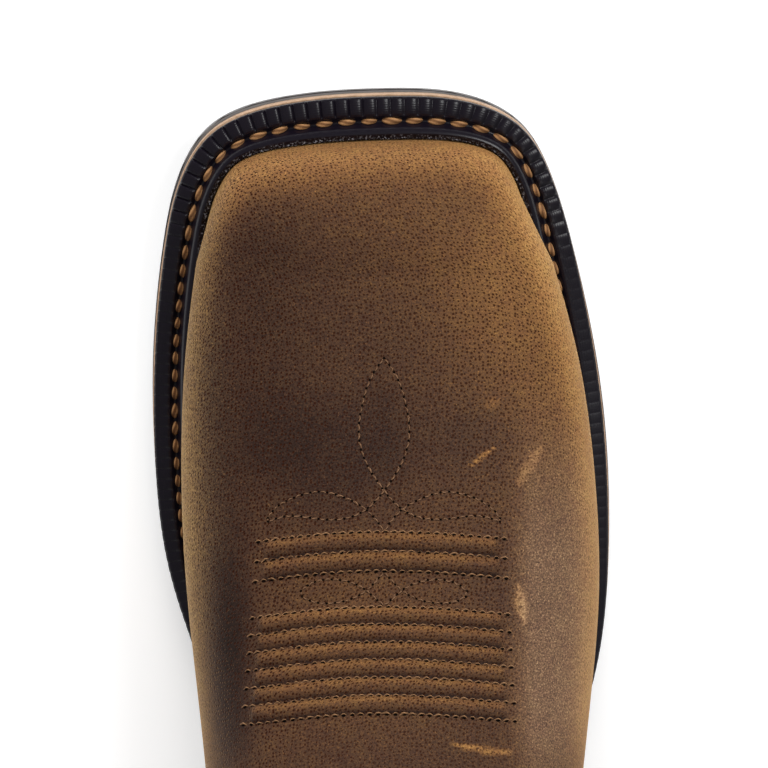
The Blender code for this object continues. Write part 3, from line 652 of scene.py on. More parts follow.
def rim_share(points):
    """How far a point has gone into the rim along the widest line of the upper, from 0 to 1."""
    foot, inward = FEATHER[::RIM_EVERY], edge_inward[::RIM_EVERY]
    share = np.zeros(points.shape[:2])
    for row, (x, y, _) in enumerate(np.moveaxis(points, 2, 1)):
        apart = points[row, :, None, :2] - foot[None]
        nearest = (apart**2).sum(2).argmin(1)
        depth = (apart[np.arange(len(nearest)), nearest] * inward[nearest]).sum(1)
        for half in (slice(None, len(depth) // 2), slice(len(depth) // 2, None)):
            depth[half] -= min(depth[half].min(), 0.0)
        side = RIM_INNER + (RIM_OUTER - RIM_INNER) * fade(x, *RIM_SIDES_X)
        width = side + (RIM_FRONT - side) * fade(y, *RIM_FRONT_Y)
        share[row] = np.exp(-(np.maximum(depth, 0.0) / width) ** 2)
    return share


def leather_looks(points):
    """Tone of the leather with painted light and shade in its patches and rim, its scuffs, the painted sheen
    of haze and gold, and how open its pores are.
    """
    x, y, z = np.moveaxis(points, 2, 0)
    front, low = fade(y, *FRONT_Y), fade(z, *LOW_Z)
    tone = np.full(x.shape, PLAIN_TONE)
    for _, px, py, half_width, half_length, change in TONE_PATCHES:
        tone += front * change * np.exp(-((x - px) / half_width) ** 2 - ((y - py) / half_length) ** 2)
    # The rim is lighter, partly stretched leather and partly painted light and sheen.
    rim = rim_share(points) * low
    # Painted sheen: the outer flank behind the toes is lightened and greyed.
    haze = fade(y, *HAZE_Y) * fade(x, *HAZE_X) * low * front
    tone += rim * (RIM_TONE + RIM_FRONT_TONE * front) * (1.0 - HAZE_ON_RIM * haze) + HAZE_TONE * haze
    haze *= 1.0 - RIM_CLEARS * rim
    rub = np.zeros(x.shape)
    for _, first, last, half_width, change in SCUFFS:
        first, last = np.array(first), np.array(last)
        run = last - first
        share = np.clip(((x - first[0]) * run[0] + (y - first[1]) * run[1]) / (run @ run), 0.0, 1.0)
        apart = np.hypot(x - first[0] - run[0] * share, y - first[1] - run[1] * share)
        taper = half_width * (SCUFF_TIP + (1.0 - SCUFF_TIP) * np.sin(math.pi * share))
        rub = np.maximum(rub, change * front * np.exp(-(apart / taper) ** 4))
    pores = 1.0 + OPEN_INNER * fade(x, *OPEN_INNER_X) - CLOSED_RIM * fade(x, *CLOSED_RIM_X) * rim
    pores *= (1.0 - CLOSED_HAZE * haze) * (1.0 - CLOSED_SCUFF * rub)
    pores *= OPEN - CLOSED_TOE * fade(y, *CLOSED_TOE_Y) - CLOSED_INSTEP * fade(y, *CLOSED_INSTEP_Y)
    # Painted golden sheen on the inner flank.
    gold = fade(x, *GOLD_X) * front * low
    return {"tone": tone, "rub": rub, "haze": haze + GOLD_HAZE * gold, "gold": gold, "pores": pores}


roll = collar_roll()
sheet = np.concatenate([skin, roll])
sheet_u = np.concatenate([skin_u, np.repeat(skin_u[-1:], len(roll), axis=0)])
sheet_v = np.concatenate([skin_v, skin_v[-1] + np.arange(1, len(roll) + 1)[:, None] * ROLL_ROW])
looks = leather_looks(sheet)
looks["tone"][:len(skin)] += ridge_painted_light
# Waxed leather with a raised nap: deep brown that lightens where it is stretched or rubbed and where light is
# painted in, a soft golden sheen at grazing angles and next to no mirror gloss.
leather, tree, shader = surface("pull_up_leather")
skin_map = add(tree, "UVMap", {"uv_map": "grain"})
place = add(tree, "TexCoord").outputs["Object"]
tone_value, rub_value, haze_value, gold_value, pore_value = (
    add(tree, "Attribute", {"attribute_name": name}).outputs["Fac"] for name in looks)
# Clouds of wax and wear shift the tone, from a few centimetres down to single fibres, which stand up and
# catch the light most on the flank with the painted sheen.
wide = add(tree, "TexNoise", Vector=place, Scale=per_metre(WAX_CLOUD), Detail=3.0, Roughness=0.55)
close = add(tree, "TexNoise", Vector=place, Scale=per_metre(WEAR_CLOUD), Detail=3.0, Roughness=0.6)
nap = add(tree, "TexNoise", Vector=place, Scale=per_metre(NAP), Detail=2.0, Roughness=0.75)
fuzzy = add(tree, "MapRange", Value=haze_value, To_Min=0.72, To_Max=1.2)
fleck = add(tree, "TexNoise", Vector=place, Scale=per_metre(FLECK), Detail=1.0)
fleck = add(tree, "MapRange", Value=fleck, From_Min=0.60, From_Max=0.74, To_Max=0.24)
toned = add(tree, "Math", {"operation": "MULTIPLY_ADD"}, _0=fleck, _1=fuzzy, _2=tone_value)
for noise, reach in ((wide, WAX_REACH), (close, WEAR_REACH), (nap, fuzzy)):
    centred = add(tree, "Math", {"operation": "SUBTRACT"}, _0=noise, _1=0.5)
    toned = add(tree, "Math", {"operation": "MULTIPLY_ADD"}, _0=centred, _1=reach, _2=toned)
# A scuff breaks up along the high spots of the grain.
scratch = add(tree, "TexNoise", Vector=place, Scale=per_metre(SCUFF_GRAIN), Detail=2.0)
broken = add(tree, "MapRange", {"interpolation_type": "SMOOTHSTEP"}, Value=scratch, From_Min=0.26,
             From_Max=0.46)
rubbed = add(tree, "Math", {"operation": "MULTIPLY_ADD"}, _0=rub_value, _1=broken, _2=toned)
ramp = add(tree, "ValToRGB", stops=LEATHER_TONES, Fac=rubbed)
# The brown leans to gold or to rust from place to place, and more to gold in the painted golden sheen of the
# inner flank; the painted sheen greys it on the outer flank.
lean = add(tree, "MapRange", Value=close, From_Min=0.25, From_Max=0.75, To_Min=0.493, To_Max=0.503)
lean = add(tree, "Math", {"operation": "MULTIPLY_ADD"}, _0=gold_value, _1=0.013, _2=lean)
sheen_grey = add(tree, "MapRange", Value=haze_value, To_Min=1.0, To_Max=0.80)
dust_and_sheen = add(tree, "HueSaturation", Hue=lean, Saturation=sheen_grey, Color=ramp)
# Open pores about a millimetre apart, dark inside and of uneven size.
spread = add(tree, "TexVoronoi", {"voronoi_dimensions": "2D"}, Vector=skin_map, Scale=1.0 / PORE_PITCH,
             Randomness=0.70)
size = add(tree, "SeparateColor", Color=spread.outputs["Color"])
reach = add(tree, "MapRange", Value=size, To_Min=0.21, To_Max=0.42)
depth = add(tree, "Math", {"operation": "DIVIDE"}, _0=spread, _1=reach)
pit = add(tree, "MapRange", {"interpolation_type": "SMOOTHSTEP"}, Value=depth, From_Min=1.0, From_Max=0.35)
pit = add(tree, "Math", {"operation": "MULTIPLY"}, _0=pit, _1=pore_value)
shade = add(tree, "Math", {"operation": "MULTIPLY"}, _0=pit, _1=0.90)
brown = add(tree, "Mix", {"data_type": "RGBA"}, Factor=shade, A=dust_and_sheen, B=linear(PORE_BROWN))
# Waxed grain is a little smoother where its tone is dark.
dull = add(tree, "MapRange", Value=rubbed, From_Min=0.1, From_Max=0.9, To_Min=0.50, To_Max=0.66)
pits = add(tree, "Bump", {"invert": True}, Strength=0.8, Distance=0.12 * MM, Height=pit)
fine = add(tree, "Bump", Strength=0.35, Distance=0.10 * MM, Height=nap, Normal=pits)
folds = add(tree, "Bump", Strength=0.35, Distance=0.35 * MM, Height=close, Normal=fine)
connect(shader, Base_Color=brown, Roughness=dull, Normal=folds, Specular_IOR_Level=0.07,
        Sheen_Weight=0.40, Sheen_Roughness=0.18, Sheen_Tint=linear(NAP_GOLD))

upper = place_mesh("upper_leather", sheet.reshape(-1, 3), grid_faces(*sheet.shape[:2]), leather,
                   np.stack([sheet_u, sheet_v], axis=-1), looks)
join_seams(upper)
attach(upper, "root")
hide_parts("upper")

# Lining
# A thinner, undyed tan leather inside the shaft and foot, glued to the outer skin.
# It ends under the facing and is seen only down the shaft, so every third point of the skin is enough.
LEATHER, LINING_CLEAR = 2.4, 0.4   # the lining's face lies a little inside the wall's thickness
LINING_GAP = LEATHER - LINING_CLEAR
LINING_EVERY = 3
LINING_GRAIN, LINING_CLOUD = 10 / 8, 10 / 0.45
LINING_TANS = ((0.0, "#6d4d33"), (1.0, "#8b6544"))
lining_end = np.flatnonzero(grid_rows >= BAND_ROW)[0]
inner_skin = base - normals * LINING_GAP
picked_rows = np.unique(np.append(np.arange(0, lining_end, LINING_EVERY), lining_end))
picked_columns = np.unique(np.append(np.arange(1, base.shape[1] - 1, LINING_EVERY), base.shape[1] - 2))
inner_skin = inner_skin[np.ix_(picked_rows, picked_columns)]
# Undyed cowhide: a matt, slightly cloudy tan with a fine pebbled grain.
cowhide, tree, shader = surface("lining_leather")
place = add(tree, "TexCoord").outputs["Object"]
grain = add(tree, "TexVoronoi", Vector=place, Scale=per_metre(LINING_GRAIN))
cloud = add(tree, "TexNoise", Vector=place, Scale=per_metre(LINING_CLOUD), Detail=4.0)
tan = add(tree, "ValToRGB", stops=LINING_TANS, Fac=cloud)
bump = add(tree, "Bump", Strength=0.4, Distance=0.2 * MM, Height=grain)
connect(shader, Base_Color=tan, Normal=bump, Roughness=0.7)
lining_faces = grid_faces(*inner_skin.shape[:2])[:, ::-1]
lining = place_mesh("lining", inner_skin.reshape(-1, 3), lining_faces, cowhide)
join_seams(lining)
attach(lining, "root")

# Vamp thread
# Waxed two-ply thread, tan, sewn by machine through the vamp. Its fine stitches bow round their needle holes.
# Each stitch is a small twisted lens that dips into the leather at both ends.
VAMP_PITCH = 2.1
VAMP_THREAD = {"share": 1.0, "width": 0.36, "thick": 0.36, "lift": 0.12, "slant": 0.06, "bow": 0.25,
               "point": 0.4, "ply": 0.16, "plies": 2, "twist": 5.0, "wind": 4.0, "uneven": 0.12}
FLOWER_THREAD = {**VAMP_THREAD, "share": 0.86, "bow": 0.05, "width": 0.40}
VAMP_THREAD_TAN, FLOWER_THREAD_BROWN = "#9c7654", "#84644b"
THREAD_SHADE = "#3f2a1b"
THREAD_FUZZ = 10 / 25     # drawn coarser than real fuzz, which wouldn't show
# Sizes of the dark discs: painted shadow under each row stitch, painted shade in each flower's needle hole.
ROW_STITCH_SHADOW = {"length": 0.52, "width": 0.34, "shift": -0.16}
FLOWER_HOLE_SHADE = {"length": 0.33, "width": 0.27, "shift": 0.0}
SHADOW_RISE = 0.16
SHADOW_BLACK = "#090605"
SHADOW_CORNERS = 8
STITCH_RINGS, STITCH_SIDES = 9, 10
STITCH_TAPER, STITCH_TIP, STITCH_DIVE = 2.4, 0.02, 2.2
OVER_VAMP = 120.0         # a height above the whole vamp
THREAD_SEED = 11


def even_line(points, step):
    """A line through points, cut into even steps."""
    points = np.asarray(points, float)
    length = running_length(points)
    at = np.linspace(0.0, length[-1], max(int(round(length[-1] / step)), 1) + 1)
    return np.stack([np.interp(at, length, column) for column in points.T], axis=-1)


def on_surface(tree_of_faces, line):
    """Points and directions out of a surface straight under a line that is seen from above."""
    points, outs = [], []
    for x, y in line:
        hit, out, _, _ = tree_of_faces.ray_cast(Vector((x, y, OVER_VAMP)), Vector((0.0, 0.0, -1.0)))
        if hit is not None:
            points.append(tuple(hit))
            outs.append(tuple(out))
    return np.array(points), np.array(outs)


def sewn(lines):
    """Starts, ends and outward directions of all stitches along lines on the vamp."""
    starts, ends, outs = [], [], []
    for line in lines:
        points, directions = on_surface(vamp_tree, even_line(line, VAMP_PITCH))
        starts.append(points[:-1])
        ends.append(points[1:])
        outs.append((directions[:-1] + directions[1:]) / 2)
    return (np.vstack(part) for part in (starts, ends, outs))


def stitch_mesh(starts, ends, outs, size, rng):
    """Points, faces and map of many stitches, each from its start to its end on a surface."""
    middle = (starts + ends) / 2
    along = ends - starts
    pitch = np.linalg.norm(along, axis=1, keepdims=True)
    along /= pitch
    side = np.cross(outs, along)
    side /= np.linalg.norm(side, axis=1, keepdims=True)
    out = np.cross(along, side)
    slant = size["slant"] + rng.normal(0.0, size["uneven"], (len(starts), 1))
    along, side = along + side * slant, side - along * slant
    a = np.linspace(-1.0, 1.0, STITCH_RINGS)[None, :, None]
    turn = (np.arange(STITCH_SIDES) / STITCH_SIDES * 2 * math.pi)[None, None, :]
    uneven = 1.0 + rng.normal(0.0, size["uneven"], (len(starts), 1, 1))
    girth = np.clip(1.0 - np.abs(a) ** STITCH_TAPER, STITCH_TIP, 1.0) ** size["point"] * uneven
    strand = 1.0 + size["ply"] * np.cos(size["plies"] * turn - size["twist"] * a)
    across = size["width"] / 2 * girth * strand * np.cos(turn) + size["bow"] * (1.0 - 2.0 * a**2)
    height = size["thick"] / 2 * girth * strand * np.sin(turn) + size["lift"] * (1.0 - STITCH_DIVE * a**2)
    run = size["share"] * pitch[:, :, None] / 2 * a * uneven + np.zeros_like(across)
    points = middle[:, None, None] + along[:, None, None] * run[..., None]
    points = points + side[:, None, None] * across[..., None] + out[:, None, None] * height[..., None]
    ring = np.arange(STITCH_RINGS - 1)[:, None] * STITCH_SIDES
    first = np.arange(STITCH_SIDES)[None, :]
    after = (first + 1) % STITCH_SIDES
    above = ring + STITCH_SIDES
    quad = np.stack([ring + first, ring + after, above + after, above + first], axis=-1)
    offsets = np.arange(len(starts))[:, None, None] * STITCH_RINGS * STITCH_SIDES
    uv = np.stack([run, turn + np.zeros_like(run)], axis=-1)
    return points.reshape(-1, 3), (quad.reshape(1, -1, 4) + offsets).reshape(-1, 4), uv


def shadow_disc_points(places, alongs, outs, size):
    """Corners of dark discs that lie on the leather: painted shade in needle holes and painted shadows under
    stitches.
    """
    side = np.cross(outs, alongs)
    turn = np.arange(SHADOW_CORNERS) / SHADOW_CORNERS * 2 * math.pi
    oval = (alongs[:, None] * (size["length"] * np.cos(turn))[None, :, None]
            + side[:, None] * (size["shift"] + size["width"] * np.sin(turn))[None, :, None])
    return (places[:, None] + oval + outs[:, None] * SHADOW_RISE).reshape(-1, 3)


def thread_finish(name, colour, shade, size):
    """Waxed thread: a painted highlight along its wound strands, painted shade between them, and darker where
    painted shade is set on it.
    """
    finish, tree, shader = surface(name)
    run = add(tree, "SeparateXYZ", Vector=add(tree, "UVMap", {"uv_map": "grain"})).outputs
    wound = add(tree, "Math", {"operation": "MULTIPLY"}, _0=run["Y"], _1=size["plies"])
    wound = add(tree, "Math", {"operation": "MULTIPLY_ADD"}, _0=run["X"], _1=-size["wind"], _2=wound)
    strands = add(tree, "Math", {"operation": "SINE"}, _0=wound)
    place = add(tree, "TexCoord").outputs["Object"]
    fuzz = add(tree, "TexNoise", Vector=place, Scale=per_metre(THREAD_FUZZ), Detail=2.0)
    inner_painted_shade = add(tree, "Attribute", {"attribute_name": "inner_painted_shade"}).outputs["Fac"]
    # Painted highlight along the crest of each strand and painted shade in the grooves between strands.
    lit = add(tree, "MapRange", Value=strands, From_Min=-1.0, From_Max=1.0, To_Min=-0.08, To_Max=0.68)
    lit = add(tree, "Math", {"operation": "MULTIPLY_ADD"}, _0=fuzz, _1=0.5, _2=lit)
    lit = add(tree, "Math", {"operation": "SUBTRACT"}, _0=lit, _1=inner_painted_shade)
    tan = add(tree, "Mix", {"data_type": "RGBA"}, Factor=lit, A=linear(shade), B=linear(colour))
    bump = add(tree, "Bump", Strength=0.6, Distance=0.12 * MM, Height=strands)
    connect(shader, Base_Color=tan, Normal=bump, Roughness=0.55, Specular_IOR_Level=0.15)
    return finish


rng = np.random.default_rng(THREAD_SEED)
vamp_faces = grid_faces(*skin[on_vamp].shape[:2])
vamp_tree = BVHTree.FromPolygons(skin[on_vamp].reshape(-1, 3).tolist(), vamp_faces.tolist())
shadow_discs = []
for name, lines, size, colour, shadow_size in (
        ("flower_thread", stitch_lines[:FLOWER_LINES], FLOWER_THREAD, FLOWER_THREAD_BROWN, FLOWER_HOLE_SHADE),
        ("row_thread", stitch_lines[FLOWER_LINES:], VAMP_THREAD, VAMP_THREAD_TAN, ROW_STITCH_SHADOW)):
    starts, ends, outs = sewn(lines)
    points, faces, uv = stitch_mesh(starts, ends, outs, size, rng)
    waxed = thread_finish("waxed_" + name, colour, THREAD_SHADE, size)
    thread = place_mesh(name, points, faces, waxed, uv)
    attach(thread, "root")
    runs = (ends - starts) / np.linalg.norm(ends - starts, axis=1, keepdims=True)
    # Flower stitches get painted shade at their needle holes, row stitches a painted shadow under their
    # middle.
    shadow_places = starts if shadow_size is FLOWER_HOLE_SHADE else (starts + ends) / 2
    shadow_discs.append(shadow_disc_points(shadow_places, runs, outs, shadow_size))

# Near-black discs: painted shade inside the flowers' needle holes and painted shadow under each bowed row
# stitch.
shadow_black_finish, tree, shader = surface("needle_holes")
connect(shader, Base_Color=linear(SHADOW_BLACK), Roughness=0.9, Specular_IOR_Level=0.02)
shadow_discs = np.vstack(shadow_discs)
shadow_disc_faces = np.arange(len(shadow_discs)).reshape(-1, SHADOW_CORNERS)
needle_holes = place_mesh("needle_holes", shadow_discs, shadow_disc_faces, shadow_black_finish)
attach(needle_holes, "root")

# Welt
# Black moulded rubber, sewn to the midsole through a groove and glued to the upper behind a glossy bead.
# Flat bars lie across its outer half, parted by narrow cuts that run out over its edge.
WELT_PROFILE = (
    # share of the width from the outer edge, height
    # a share below 0 is one of the ledge, which the welt overhangs at the toe
    (0.000, 0.0), (-0.350, 1.0), (-0.360, 2.1), (-0.250, 2.42), (0.000, 2.70), (0.080, 2.98), (0.170, 3.26),
    (0.260, 3.50), (0.340, 3.64), (0.400, 3.66), (0.440, 3.48), (0.468, 3.10), (0.500, 2.72), (0.540, 2.48),
    (0.585, 2.52), (0.620, 2.90), (0.650, 3.55), (0.680, 4.35), (0.715, 5.05), (0.760, 5.65), (0.810, 6.02),
    (0.855, 6.20), (0.900, 6.28), (0.945, 6.30), (0.980, 6.24), (1.000, 6.05), (1.000, 0.0),
)
BAR_END, BAR_FADE = 0.45, 0.03
BAR_DEPTH = 0.62
BAR_PITCH, BAR_PITCH_TOE = 2.75, 3.45
BAR_STATIONS = (
    # share of one pitch, share of the cut's depth
    (0.00, 1.00), (0.05, 0.84), (0.12, 0.52), (0.24, 0.22), (0.37, 0.06),
    (0.50, 0.00), (0.63, 0.06), (0.76, 0.22), (0.88, 0.52), (0.95, 0.84),
)
OUTER_CUTS, INNER_CUTS = 0.08, 0.35   # shares of the cuts' depth along the sides
INNER_SHARPNESS = 1.4     # the cuts are narrower on the inner half
INNER_HALF_X = (6.0, -20.0)
CUT_PULL, CUT_PULL_FROM = 0.05, 0.1   # a cut draws the edge in, as shares of the welt's width
TOE_Y = (98.0, 130.0)
TOE_CUT_POWER = 3
BEAD_SHARES = (0.62, 0.68)
GLUE_SHARES, GLUE_Y = (0.86, 0.94), (108.0, 120.0)
RUBBER_BLACK, DUST_GREY, GLUE_GLINT_GREY = "#100c14", "#77757a", "#8d8d94"
MOULD_LINES, MOULD_GRAIN = 0.55, 10 / 15
DUST_PITCH = 10 / 1.3
GLUE_LUMPS, GLUE_GLINT_PITCH = 10 / 11, 10 / 19
SQUARE_ANGLE = math.radians(80)


def edge_shares(y):
    """Shares round the sole where its outer and its inner edge pass a place along the boot."""
    along = edge_place[:, 1]
    outer = np.interp(y, along[:TOE_STEP], FEATHER_STEPS[:TOE_STEP])
    inner = np.interp(y, along[:TOE_STEP:-1], FEATHER_STEPS[:TOE_STEP:-1])
    return float(outer), float(inner)


def welt_points(shares, across, height):
    """Points on the welt at places round the sole, for shares of its width and heights over the midsole."""
    place, inward, reach, ledge = sole_edge(shares)
    width = reach - ledge - GAP
    overhang = ledge * fade(place[:, 1], *TOE_Y)
    inset = ledge[:, None] + np.where(across < 0, overhang[:, None], width[:, None]) * across
    flat = place[:, None] + inward[:, None] * inset[..., None]
    return np.concatenate([flat, (feather_z(flat[..., 1]) + height)[..., None]], axis=2)


def paced(pitch, toe_pitch, across, parts=(0.0,)):
    """Shares round the sole, evenly paced along a line of the welt, wider at the toe, split at the parts."""
    shares = np.linspace(*edge_shares(BREAST_Y + BAR_PITCH), OUTLINE_STEPS)
    points = welt_points(shares, np.full((1, 1), across), 0.0)[:, 0, :2]
    middle_y = (points[1:, 1] + points[:-1, 1]) / 2
    pace = pitch + (toe_pitch - pitch) * fade(middle_y, *TOE_Y)
    count = np.concatenate([[0.0], np.cumsum(np.diff(running_length(points)) / pace)])
    whole = int(count[-1])
    stops = (np.arange(whole)[:, None] + np.asarray(parts)[None, :]).reshape(-1)
    return np.interp(np.append(stops, whole) * count[-1] / whole, count, shares)


stations = paced(BAR_PITCH, BAR_PITCH_TOE, BAR_END / 2, [share for share, _ in BAR_STATIONS])
profile_share, profile_height = np.array(WELT_PROFILE).T[:, None]
station_x, station_y = sole_edge(stations)[0].T
inner_half = fade(station_x, *INNER_HALF_X)
side_cuts = OUTER_CUTS + (INNER_CUTS - OUTER_CUTS) * inner_half
cut = np.resize([depth for _, depth in BAR_STATIONS], len(stations)) ** (1.0 + INNER_SHARPNESS * inner_half)
cut *= side_cuts + (1.0 - side_cuts) * fade(station_y, *TOE_Y) ** TOE_CUT_POWER
cut = cut[:, None] * fade(profile_share, BAR_END, BAR_END - BAR_FADE) * (profile_height > 0.0)
pull = CUT_PULL * cut * fade(profile_share, CUT_PULL_FROM, 0.0)
strip = welt_points(stations, profile_share + pull, profile_height - BAR_DEPTH * cut)
strip_u = np.repeat(lengths_along(strip, 1).mean(0)[None, :], len(strip), axis=0)
strip_v = np.repeat(lengths_along(strip, 0)[:, :1], strip.shape[1], axis=1)
bead = np.repeat(fade(profile_share, *BEAD_SHARES), len(strip), axis=0)
glue = fade(profile_share, *GLUE_SHARES) * fade(strip[..., 1], *GLUE_Y)

# Moulded rubber: deep black with a satin gloss, fine mould lines along the bars, a smoother bead, a few
# specks of dust and a rough line of glue behind the bead at the toe, whose pale specks are painted glints.
rubber, tree, shader = surface("welt_rubber")
place = add(tree, "TexCoord").outputs["Object"]
across_mm = add(tree, "SeparateXYZ", Vector=add(tree, "UVMap", {"uv_map": "grain"}))
bead_value, glue_value = (add(tree, "Attribute", {"attribute_name": name}).outputs["Fac"]
                          for name in ("bead", "glue"))
satin = add(tree, "MapRange", Value=bead_value, To_Min=0.32, To_Max=0.28)
line = add(tree, "Math", {"operation": "MULTIPLY"}, _0=across_mm, _1=2 * math.pi / MOULD_LINES)
line = add(tree, "Math", {"operation": "SINE"}, _0=line)
on_bars = add(tree, "Math", {"operation": "SUBTRACT"}, _0=1.0, _1=bead_value)
line = add(tree, "Math", {"operation": "MULTIPLY"}, _0=line, _1=on_bars)
grain = add(tree, "TexNoise", Vector=place, Scale=per_metre(MOULD_GRAIN), Detail=2.0)
dust = add(tree, "TexVoronoi", Vector=place, Scale=per_metre(DUST_PITCH))
speck = add(tree, "MapRange", Value=dust, From_Min=0.030, From_Max=0.014)
dust_and_sheen = add(tree, "Mix", {"data_type": "RGBA"}, Factor=speck, A=linear(RUBBER_BLACK), B=linear(DUST_GREY))
lumps = add(tree, "TexNoise", Vector=place, Scale=per_metre(GLUE_LUMPS), Detail=3.0)
lumps = add(tree, "Math", {"operation": "MULTIPLY"}, _0=lumps, _1=glue_value)
# Pale specks on the glue: painted glints of its wet shine.
glue_glints = add(tree, "TexNoise", Vector=place, Scale=per_metre(GLUE_GLINT_PITCH), Detail=2.0, Roughness=0.7)
glue_glints = add(tree, "MapRange", Value=glue_glints, From_Min=0.55, From_Max=0.64)
glue_glints = add(tree, "Math", {"operation": "MULTIPLY"}, _0=glue_glints, _1=glue_value)
glued = add(tree, "Mix", {"data_type": "RGBA"}, Factor=glue_glints, A=dust_and_sheen, B=linear(GLUE_GLINT_GREY))
bump = add(tree, "Bump", Strength=0.20, Distance=0.05 * MM, Height=line)
bump = add(tree, "Bump", Strength=0.25, Distance=0.08 * MM, Height=grain, Normal=bump)
bump = add(tree, "Bump", Strength=1.0, Distance=0.9 * MM, Height=lumps, Normal=bump)
connect(shader, Base_Color=glued, Roughness=satin, Normal=bump, Specular_IOR_Level=0.32)

# The strip is cut off square at both breasts.
corners = np.arange(strip.shape[0] * strip.shape[1]).reshape(strip.shape[:2])
welt_faces = [*grid_faces(*strip.shape[:2])[:, ::-1], corners[0, ::-1], corners[-1]]
welt = place_mesh("welt_rubber", strip.reshape(-1, 3), welt_faces, rubber,
                  np.stack([strip_u, strip_v], axis=-1), {"bead": bead, "glue": glue})
welt.data.set_sharp_from_angle(angle=SQUARE_ANGLE)
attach(welt, "root")
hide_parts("welt")

# Welt thread
# Thick golden lockstitch of three twisted, waxed plies, sewn through welt and midsole.
# It is pulled down into the welt's groove all round the forepart, and darkened along the inner side by
# painted shade.
STITCH_SHARE, STITCH_FLOOR = 0.555, 2.55
WELT_PITCH, WELT_PITCH_TOE = 4.6, 5.6
WELT_THREAD = {"share": 0.90, "width": 1.60, "thick": 1.40, "lift": 0.60, "slant": 0.07, "bow": 0.0,
               "point": 0.75, "ply": 0.11, "plies": 3, "twist": 2.6, "wind": 1.3, "uneven": 0.06}
WELT_THREAD_GOLD, WELT_THREAD_SHADE = "#a87d54", "#523520"
INNER_SHADE, INNER_SHADE_X, INNER_SHADE_Y = 0.3, (-20.0, -45.0), (125.0, 105.0)
needle = paced(WELT_PITCH, WELT_PITCH_TOE, STITCH_SHARE)
places = welt_points(needle, np.full((len(needle), 1), STITCH_SHARE), STITCH_FLOOR)[:, 0]
upright = np.tile((0.0, 0.0, 1.0), (len(needle) - 1, 1))
points, faces, uv = stitch_mesh(places[:-1], places[1:], upright, WELT_THREAD, rng)
gold_thread = thread_finish("waxed_gold_thread", WELT_THREAD_GOLD, WELT_THREAD_SHADE, WELT_THREAD)
# Painted shade on the stitches of the inner side.
inner_painted_shade = INNER_SHADE * fade(points[:, 0], *INNER_SHADE_X) * fade(points[:, 1], *INNER_SHADE_Y)
welt_thread = place_mesh("welt_thread", points, faces, gold_thread, uv, {"inner_painted_shade": inner_painted_shade})
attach(welt_thread, "root")

# Midsole
# A layer of tan leather between welt and outsole, trimmed a little inside the outsole's edge.
# A thin line of its upper face is bare where it stands out past the welt.
SOLE_POINTS = 480
MIDSOLE_ROUND = 0.25
MIDSOLE_TRIM = 0.45       # share of the ledge past the welt that is trimmed away
MIDSOLE_EDGE = math.radians(50)
MIDSOLE_PROFILE = (
    # inset from the edge, height over the outsole
    (MIDSOLE_ROUND, GAP), (0.0, GAP + MIDSOLE_ROUND),
    (0.0, GAP + MIDSOLE - MIDSOLE_ROUND), (MIDSOLE_ROUND, GAP + MIDSOLE),
)
MIDSOLE_FIBRE, FIBRE_LAYERS = 10 / 5, 6.0
MIDSOLE_TANS = ((0.3, "#8f735a"), (0.7, "#bd9d82"))


def sole_rings(profile, trim=0.0):
    """Rings round the sole, drawn in by insets and a share of the ledge, at heights over the outsole."""
    place, inward, _, ledge = sole_edge(np.arange(SOLE_POINTS) / SOLE_POINTS)
    rings = []
    for inset, height in profile:
        flat = place + inward * (inset + trim * ledge[:, None])
        rings.append(np.column_stack([flat, outsole_top_z(flat[:, 1]) + height]))
    return np.vstack(rings)


def slab_faces(levels, count):
    """Faces of a solid between rings of points, lowest first, closed by strips that run from side to side."""
    faces = []
    for level in range(levels - 1):
        low, high = level * count, (level + 1) * count
        faces += [(low + i, low + (i + 1) % count, high + (i + 1) % count, high + i) for i in range(count)]
    top = (levels - 1) * count
    for i in range(count // 2):
        strip = [k % count for k in (i, i + 1, count - i - 1, count - i)]
        faces.append(strip[::-1])
        faces.append([top + k for k in strip])
    return [tuple(dict.fromkeys(face)) for face in faces]


# Trimmed sole leather: a pale, dry tan edge whose fibres lie in layers along it.
trimmed, tree, shader = surface("midsole_leather")
place = add(tree, "TexCoord").outputs["Object"]
layers = add(tree, "Mapping", Vector=place, Scale=(1.0, 1.0, FIBRE_LAYERS))
fibre = add(tree, "TexNoise", Vector=layers, Scale=per_metre(MIDSOLE_FIBRE), Detail=4.0, Roughness=0.65)
tan = add(tree, "ValToRGB", stops=MIDSOLE_TANS, Fac=fibre)
bump = add(tree, "Bump", Strength=0.4, Distance=0.2 * MM, Height=fibre)
connect(shader, Base_Color=tan, Normal=bump, Roughness=0.62)
midsole_faces = slab_faces(len(MIDSOLE_PROFILE), SOLE_POINTS)
midsole = place_mesh("midsole_leather", sole_rings(MIDSOLE_PROFILE, MIDSOLE_TRIM), midsole_faces, trimmed)
midsole.data.set_sharp_from_angle(angle=MIDSOLE_EDGE)
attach(midsole, "root")
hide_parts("midsole")

# Outsole and heel
# Black moulded rubber with main lugs, cemented under the midsole, and a block heel under the seat.
# Both keep their CAD solids, with the edges of the mould softened. A rounded rim runs along the outsole.
RIM_PROFILE = (
    # inset from the sole's edge, height over the outsole's upper face
    (2.6, -4.0), (0.9, -3.6), (0.20, -2.6), (-0.05, -1.6),
    (-0.04, -0.7), (0.12, -0.15), (0.45, 0.08), (3.0, 0.10),
)
TREAD_WEAR, TREAD_GRAIN, RIM_GREY_CLOUD = 10 / 0.9, 10 / 14, 10 / 1.2
TREAD_GREYS = ((0.0, "#1f1f22"), (1.0, "#3d3c40"))
RIM_GREYS = ((0.0, "#454446"), (1.0, "#7b7876"))
FACET_JOIN = 0.01
WALL_ANGLE, EDGE_ANGLE = math.radians(30), math.radians(40)
EDGE_ROUND = 0.5

